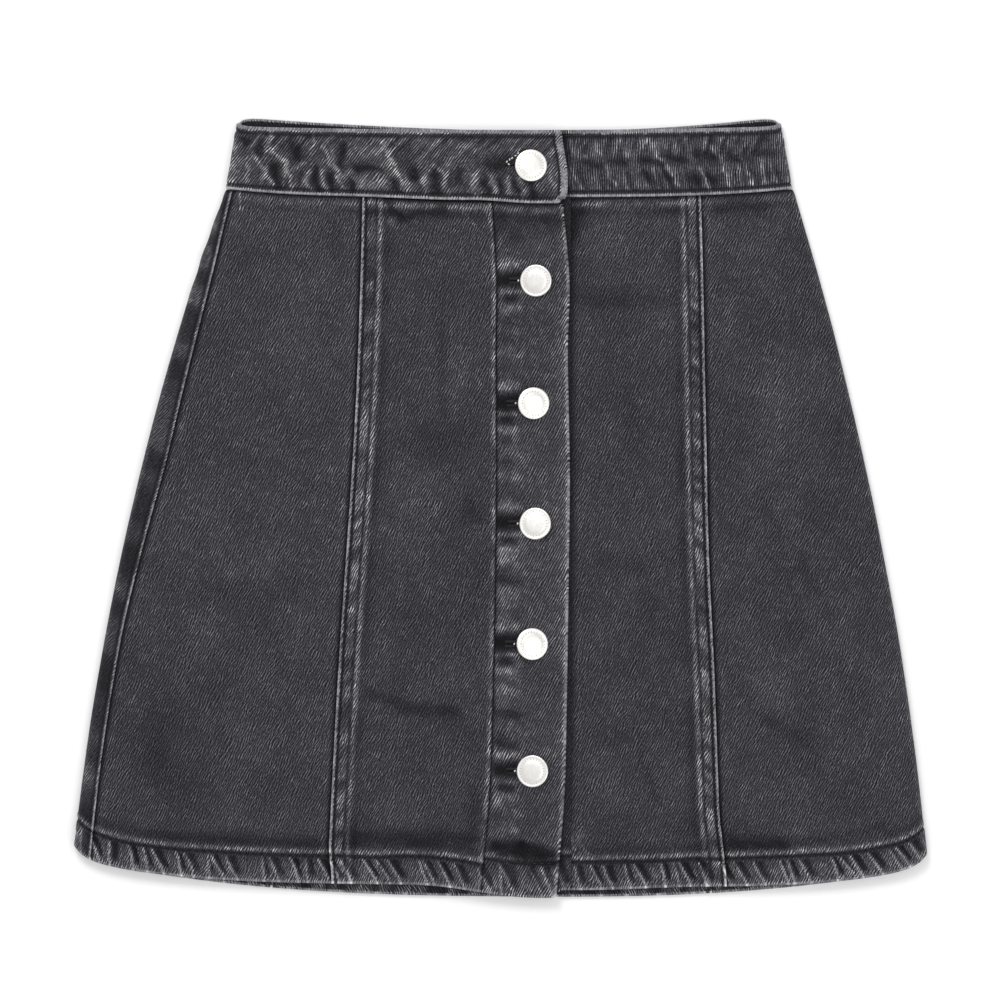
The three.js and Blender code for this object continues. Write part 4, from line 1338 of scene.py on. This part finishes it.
def stitch_shape(length, radius, sink):
    """The points and faces of one stitch along X, thinner at its ends, which are pulled into the cloth."""
    along_x = (0, math.pi / 2, 0)
    bpy.ops.mesh.primitive_cylinder_add(vertices=6, radius=radius, depth=length, rotation=along_x)
    piece = bpy.context.object
    bpy.ops.object.transform_apply()
    bpy.ops.object.mode_set(mode="EDIT")
    bpy.ops.mesh.select_all(action="SELECT")
    bpy.ops.mesh.bisect(plane_co=(0, 0, 0), plane_no=(1, 0, 0))
    bpy.ops.object.mode_set(mode="OBJECT")
    coords = np.array([tuple(vertex.co) for vertex in piece.data.vertices])
    end = np.abs(coords[:, 0]) / (length / 2)
    coords[:, 1:] *= (1 - STITCH_TAPER * end)[:, None]
    coords[:, 2] -= sink * end
    faces = [tuple(face.vertices) for face in piece.data.polygons]
    bpy.data.objects.remove(piece)
    return coords, faces


def thread_piece(name, shape, stitches, material):
    """Copies a stitch to each middle, with its direction and the way out of the cloth, as one piece."""
    coords, faces = shape
    verts, joined = [], []
    for number, (middle, ahead, out) in enumerate(stitches):
        side = np.cross(out, ahead)
        side = side / np.linalg.norm(side)
        out = np.cross(ahead, side)
        verts.append(middle + coords[:, :1] * ahead + coords[:, 1:2] * side + coords[:, 2:] * out)
        first = number * len(coords)
        joined.extend(tuple(first + corner for corner in face) for face in faces)
    verts = np.concatenate(verts)
    verts[:, 2] = np.maximum(verts[:, 2], 0)
    piece = mesh_piece(name, verts, joined)
    piece.data.materials.append(material)
    bpy.ops.object.shade_smooth()
    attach(piece, BODY)


def stitches_along(line, out):
    """The middle, direction and way out of each topstitch on a line."""
    reach = distances(line[:, None, :], 0)[:, 0]
    pitch = STITCH + STITCH_GAP
    at = np.arange(pitch, reach[-1] - pitch / 2, pitch)

    def on_line(places, values):
        return np.stack([np.interp(places, reach, values[:, k]) for k in range(3)], -1)

    ahead = on_line(at + STITCH / 2, line) - on_line(at - STITCH / 2, line)
    ahead = ahead / np.linalg.norm(ahead, axis=-1, keepdims=True)
    return list(zip(on_line(at, line), ahead, on_line(at, out)))


def topstitching():
    """All the rows of topstitching that were noted, as one piece."""
    stitches = [stitch for line, out in STITCH_LINES for stitch in stitches_along(line, out)]
    stitch = stitch_shape(STITCH, radius=0.28, sink=0.25)
    thread_piece("topstitching", stitch, stitches, BLACK_THREAD)


# The raw ends of pale thread at the waistband's buttonhole: where each is from the button's middle, and
# which way it points in degrees. The other buttonholes have one each, by the shank.
BAND_THREAD_ENDS = [
    (-13.9, 2.3, 60),
    (-12.8, 0.8, -40),
    (-12.3, 3.6, 75),
    (-10.9, 4.4, 50),
    (-8.9, 5.8, 15),
    (-7.4, 7.2, 45),
]
THREAD_ENDS = [(-10.3, 0.1, 60)]

# The close stitches beside a buttonhole's slit: how far apart they are, and how far from its middle.
CLOSE_STITCH = 0.55
SLIT_SIDE = 1.35
HOLE_SINK = 0.75  # how deep the hollow is where they lie


def buttonhole_stitching():
    """The close stitches along both sides of each buttonhole's slit, and the raw ends of pale thread."""
    stitches, ends = [], []
    up, across = np.array([0, 0, 1.0]), np.array([0, 1.0, 0])
    for name in BUTTONS:
        top = BAND_TAB_TOP if name == BUTTONS[0] else STRIP_TOP
        middle = np.array([*button_centre(name), top - HOLE_SINK])
        for right in np.arange(-HOLE_LENGTH - 0.4, -SHANK_ROOM, CLOSE_STITCH):
            for side in (-SLIT_SIDE, SLIT_SIDE):
                stitches.append((middle + (right, side, 0), across, up))
        for right, away, turned in BAND_THREAD_ENDS if name == BUTTONS[0] else THREAD_ENDS:
            angle = math.radians(turned)
            ahead = np.array([math.cos(angle), math.sin(angle), 0])
            ends.append((middle + (right, away, 0.6), ahead, up))
    stitch = stitch_shape(2.0, radius=0.26, sink=0.2)
    loose_end = stitch_shape(1.2, radius=0.45, sink=0.1)
    thread_piece("buttonhole_stitching", stitch, stitches, BLACK_THREAD)
    thread_piece("buttonhole_thread_ends", loose_end, ends, PALE_THREAD)


# ---- The camera and the light ----

VIEW_WIDTH = 0.5846  # what the camera takes in, across
FRONT_HEIGHT = 0.006  # of the skirt's front, where the view's width is measured
CAMERA_HEIGHT = 2.6
CAMERA_AIM = (0.0020, 0.0026)
FLOOR_DROP = 0.0002  # from the skirt's underside down to the floor


def set_camera():
    """The camera, straight above the skirt."""
    bpy.ops.object.camera_add(location=(*CAMERA_AIM, CAMERA_HEIGHT), rotation=(0, 0, 0))
    camera = bpy.context.object
    camera.data.lens = camera.data.sensor_width * (CAMERA_HEIGHT - FRONT_HEIGHT) / VIEW_WIDTH
    bpy.context.scene.camera = camera


def area_light(name, place, size, power):
    """A softbox that faces the skirt."""
    bpy.ops.object.light_add(type="AREA", location=place)
    light = bpy.context.object
    light.name = name
    light.data.shape = "DISK"
    light.data.size = size
    light.data.energy = power
    direction = light.location.to_track_quat("Z", "Y")
    light.rotation_euler = direction.to_euler()


def set_stage():
    """The floor, an even white world and two softboxes."""
    bpy.ops.mesh.primitive_plane_add(size=8, location=(0, 0, -FLOOR_DROP))
    floor = bpy.context.object
    floor.name = "floor"
    material, _tree, shader = new_material("white paper")
    shader.inputs["Base Color"].default_value = colour("FAFAFA")
    shader.inputs["Roughness"].default_value = 0.9
    floor.data.materials.append(material)
    world = bpy.data.worlds.new("studio")
    world.use_nodes = True
    background = world.node_tree.nodes["Background"]
    background.inputs["Color"].default_value = colour("FFFFFF")
    background.inputs["Strength"].default_value = 0.75
    bpy.context.scene.world = world
    area_light("key above the waist", (-0.5, 1.3, 1.5), 0.9, 17)
    area_light("fill", (0.9, -0.6, 1.8), 1.6, 8)
    bpy.context.scene.view_settings.view_transform = "Standard"


# ---- Buttons ----

HEAD = 3.2 * MM  # height of a button's head
HEAD_WALL = 1.4 * MM  # and of its outside wall
BEADS = 26
BEAD = 0.4 * MM  # radius of a bead
BEAD_RING = 2.3 * MM  # from the head's edge in to its ring of beads
BEAD_LIFT = 0.36 * MM  # and from its wall's top up to the beads' middles
SHANK_RADIUS = 3 * MM
UNDER_STEP = (0.5 * MM, 0.25 * MM)  # width and depth of the step on a head's underside

# The steps of the head's face, from its edge in, by width and rise: the rolled rim and the beads' ring,
# then the low domed plate.
RIM_STEPS = [(0.3, 0.3), (0.5, 0.14), (0.35, -0.12), (0.2, -0.02), (2.0, 0.06), (0.25, 0.14)]
PLATE_STEPS = [(0.35, 0.1), (1.0, 0.1), (1.3, 0.07), (1.4, 0.03)]

# How far each button leans on its shank, in degrees to the right and away from the viewer.
LEANS = [(-5, 3), (12, -3), (-11, -2), (11, 4), (-12, 3), (12, 2)]


def select_facing(piece, wanted, height):
    """In edit mode, selects just the faces that face up or down (wanted is 1 or -1) at a height."""
    bpy.ops.mesh.select_all(action="DESELECT")
    bpy.ops.object.mode_set(mode="OBJECT")
    for face in piece.data.polygons:
        face.select = face.normal.z * wanted > 0.9 and abs(face.center.z - height) < 1e-5
    bpy.ops.object.mode_set(mode="EDIT")
    bpy.ops.mesh.select_mode(type="FACE")


def button_head(name):
    """A button's head, with a rolled rim, a flat ring for the beads and a low plate, and its shank."""
    low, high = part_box(name)
    centre = (low + high) / 2
    radius = (high.x - low.x) / 2
    underside = high.z - HEAD
    middle = (centre.x, centre.y, underside + HEAD_WALL / 2)
    bpy.ops.mesh.primitive_cylinder_add(vertices=72, radius=radius, depth=HEAD_WALL, location=middle)
    piece = bpy.context.object
    bpy.ops.object.transform_apply()
    bpy.ops.object.mode_set(mode="EDIT")
    select_facing(piece, 1, underside + HEAD_WALL)
    for width, rise in RIM_STEPS + PLATE_STEPS:
        bpy.ops.mesh.inset(thickness=width * MM, depth=rise * MM)
    select_facing(piece, -1, underside)
    step_width, step_depth = UNDER_STEP
    bpy.ops.mesh.inset(thickness=step_width, depth=step_depth)
    bpy.ops.mesh.inset(thickness=radius - step_width - SHANK_RADIUS, depth=0)
    shank = (0, 0, low.z - underside - step_depth)
    bpy.ops.mesh.extrude_region_move(TRANSFORM_OT_translate={"value": shank})
    bpy.ops.object.mode_set(mode="OBJECT")
    soften = piece.modifiers.new("rolled edges", "BEVEL")
    soften.width = 0.16 * MM
    soften.segments = 2
    soften.limit_method = "ANGLE"
    soften.angle_limit = math.radians(28)
    bpy.ops.object.modifier_apply(modifier=soften.name)
    piece.data.materials.append(BUTTON_METAL)
    return piece, centre, radius, underside + HEAD_WALL


def bead_ring(centre, radius, height):
    """A ring of small raised beads and bars, as plain ornament round a button."""
    pieces = []
    for number in range(BEADS):
        angle = 2 * math.pi * number / BEADS
        place = (centre.x + radius * math.cos(angle), centre.y + radius * math.sin(angle), height)
        bpy.ops.mesh.primitive_uv_sphere_add(
            segments=10,
            ring_count=6,
            radius=BEAD,
            location=place,
            rotation=(0, 0, angle),
            scale=(1.8 if number % 2 else 1.0, 0.8, 0.6),
        )
        pieces.append(bpy.context.object)
        pieces[-1].data.materials.append(BEAD_METAL)
    return pieces


def make_button(name, lean_right, lean_away):
    """A button with its beads, leaning on its shank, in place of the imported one."""
    piece, centre, radius, top = button_head(name)
    beads = bead_ring(centre, radius - BEAD_RING, top + BEAD_LIFT)
    select_only(piece, *beads)
    bpy.ops.object.join()
    bpy.ops.object.transform_apply()
    bpy.ops.object.mode_set(mode="EDIT")
    bpy.ops.mesh.select_all(action="SELECT")
    for angle, axis in ((lean_right, "Y"), (lean_away, "X")):
        bpy.ops.transform.rotate(value=math.radians(angle), orient_axis=axis, center_override=centre)
    bpy.ops.object.mode_set(mode="OBJECT")
    bpy.ops.object.shade_smooth_by_angle(angle=math.radians(35))
    piece.name = f"{name}_shank_button"
    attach(piece, BODY)
    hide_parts(name)


# ---- Making it all ----

set_camera()
set_stage()

BACK_LAYERS = ["back_centre", "back_side_left", "back_side_right"]

# Each panel: its function, what it lies on, and the least and most width of its cut.
PANEL_CUTS = [
    ("front_side_left", front_side_left, BACK_LAYERS, (76, 137)),
    ("front_centre_left", front_centre_left, BACK_LAYERS, (76, 89)),
    ("front_centre_right", front_centre_right, BACK_LAYERS, (74, 88)),
    ("front_side_right", front_side_right, BACK_LAYERS, (65, 135)),
    ("back_side_left", back_side_left, ["floor"], (86, 126)),
    ("back_centre", back_centre, ["floor"], (172, 257)),
    ("back_side_right", back_side_right, ["floor"], (78, 115)),
]
for name, make_grid, rests_on, width in PANEL_CUTS:
    cloth(name, make_grid(), "panel_denim", PANEL_DENIM, rests_on, width, CUT_LENGTH)

STRIP_CUT = (80, 86)
BAND_CUT = (80, 84)
BAND_LENGTH = 700
holes = [buttonhole(button_centre(name)) for name in BUTTONS]
strip = ("strip_denim", STRIP_DENIM)
under_placket = ["button_underlap_cloth"]
cloth("button_placket", button_placket(), *strip, under_placket, STRIP_CUT, CUT_LENGTH, holes[1:])
cloth("button_underlap", button_underlap(), *strip, BACK_LAYERS, STRIP_CUT, CUT_LENGTH)


def tab_hole(centres):
    """The waistband's buttonhole, through its tab and not through the end below it."""
    return holes[0](centres) & (centres[:, 2] > BAND_UNDER_TOP + 0.3)


band = ("waistband_denim", BAND_DENIM)
cloth("waistband", waistband(), *band, BACK_LAYERS, BAND_CUT, BAND_LENGTH, [tab_hole])
topstitching()
buttonhole_stitching()
for name, (lean_right, lean_away) in zip(BUTTONS, LEANS):
    make_button(name, lean_right, lean_away)
for name in TACKS:
    tack = frame["nodes"][name]
    tack.data.materials.clear()
    tack.data.materials.append(TACK_METAL)
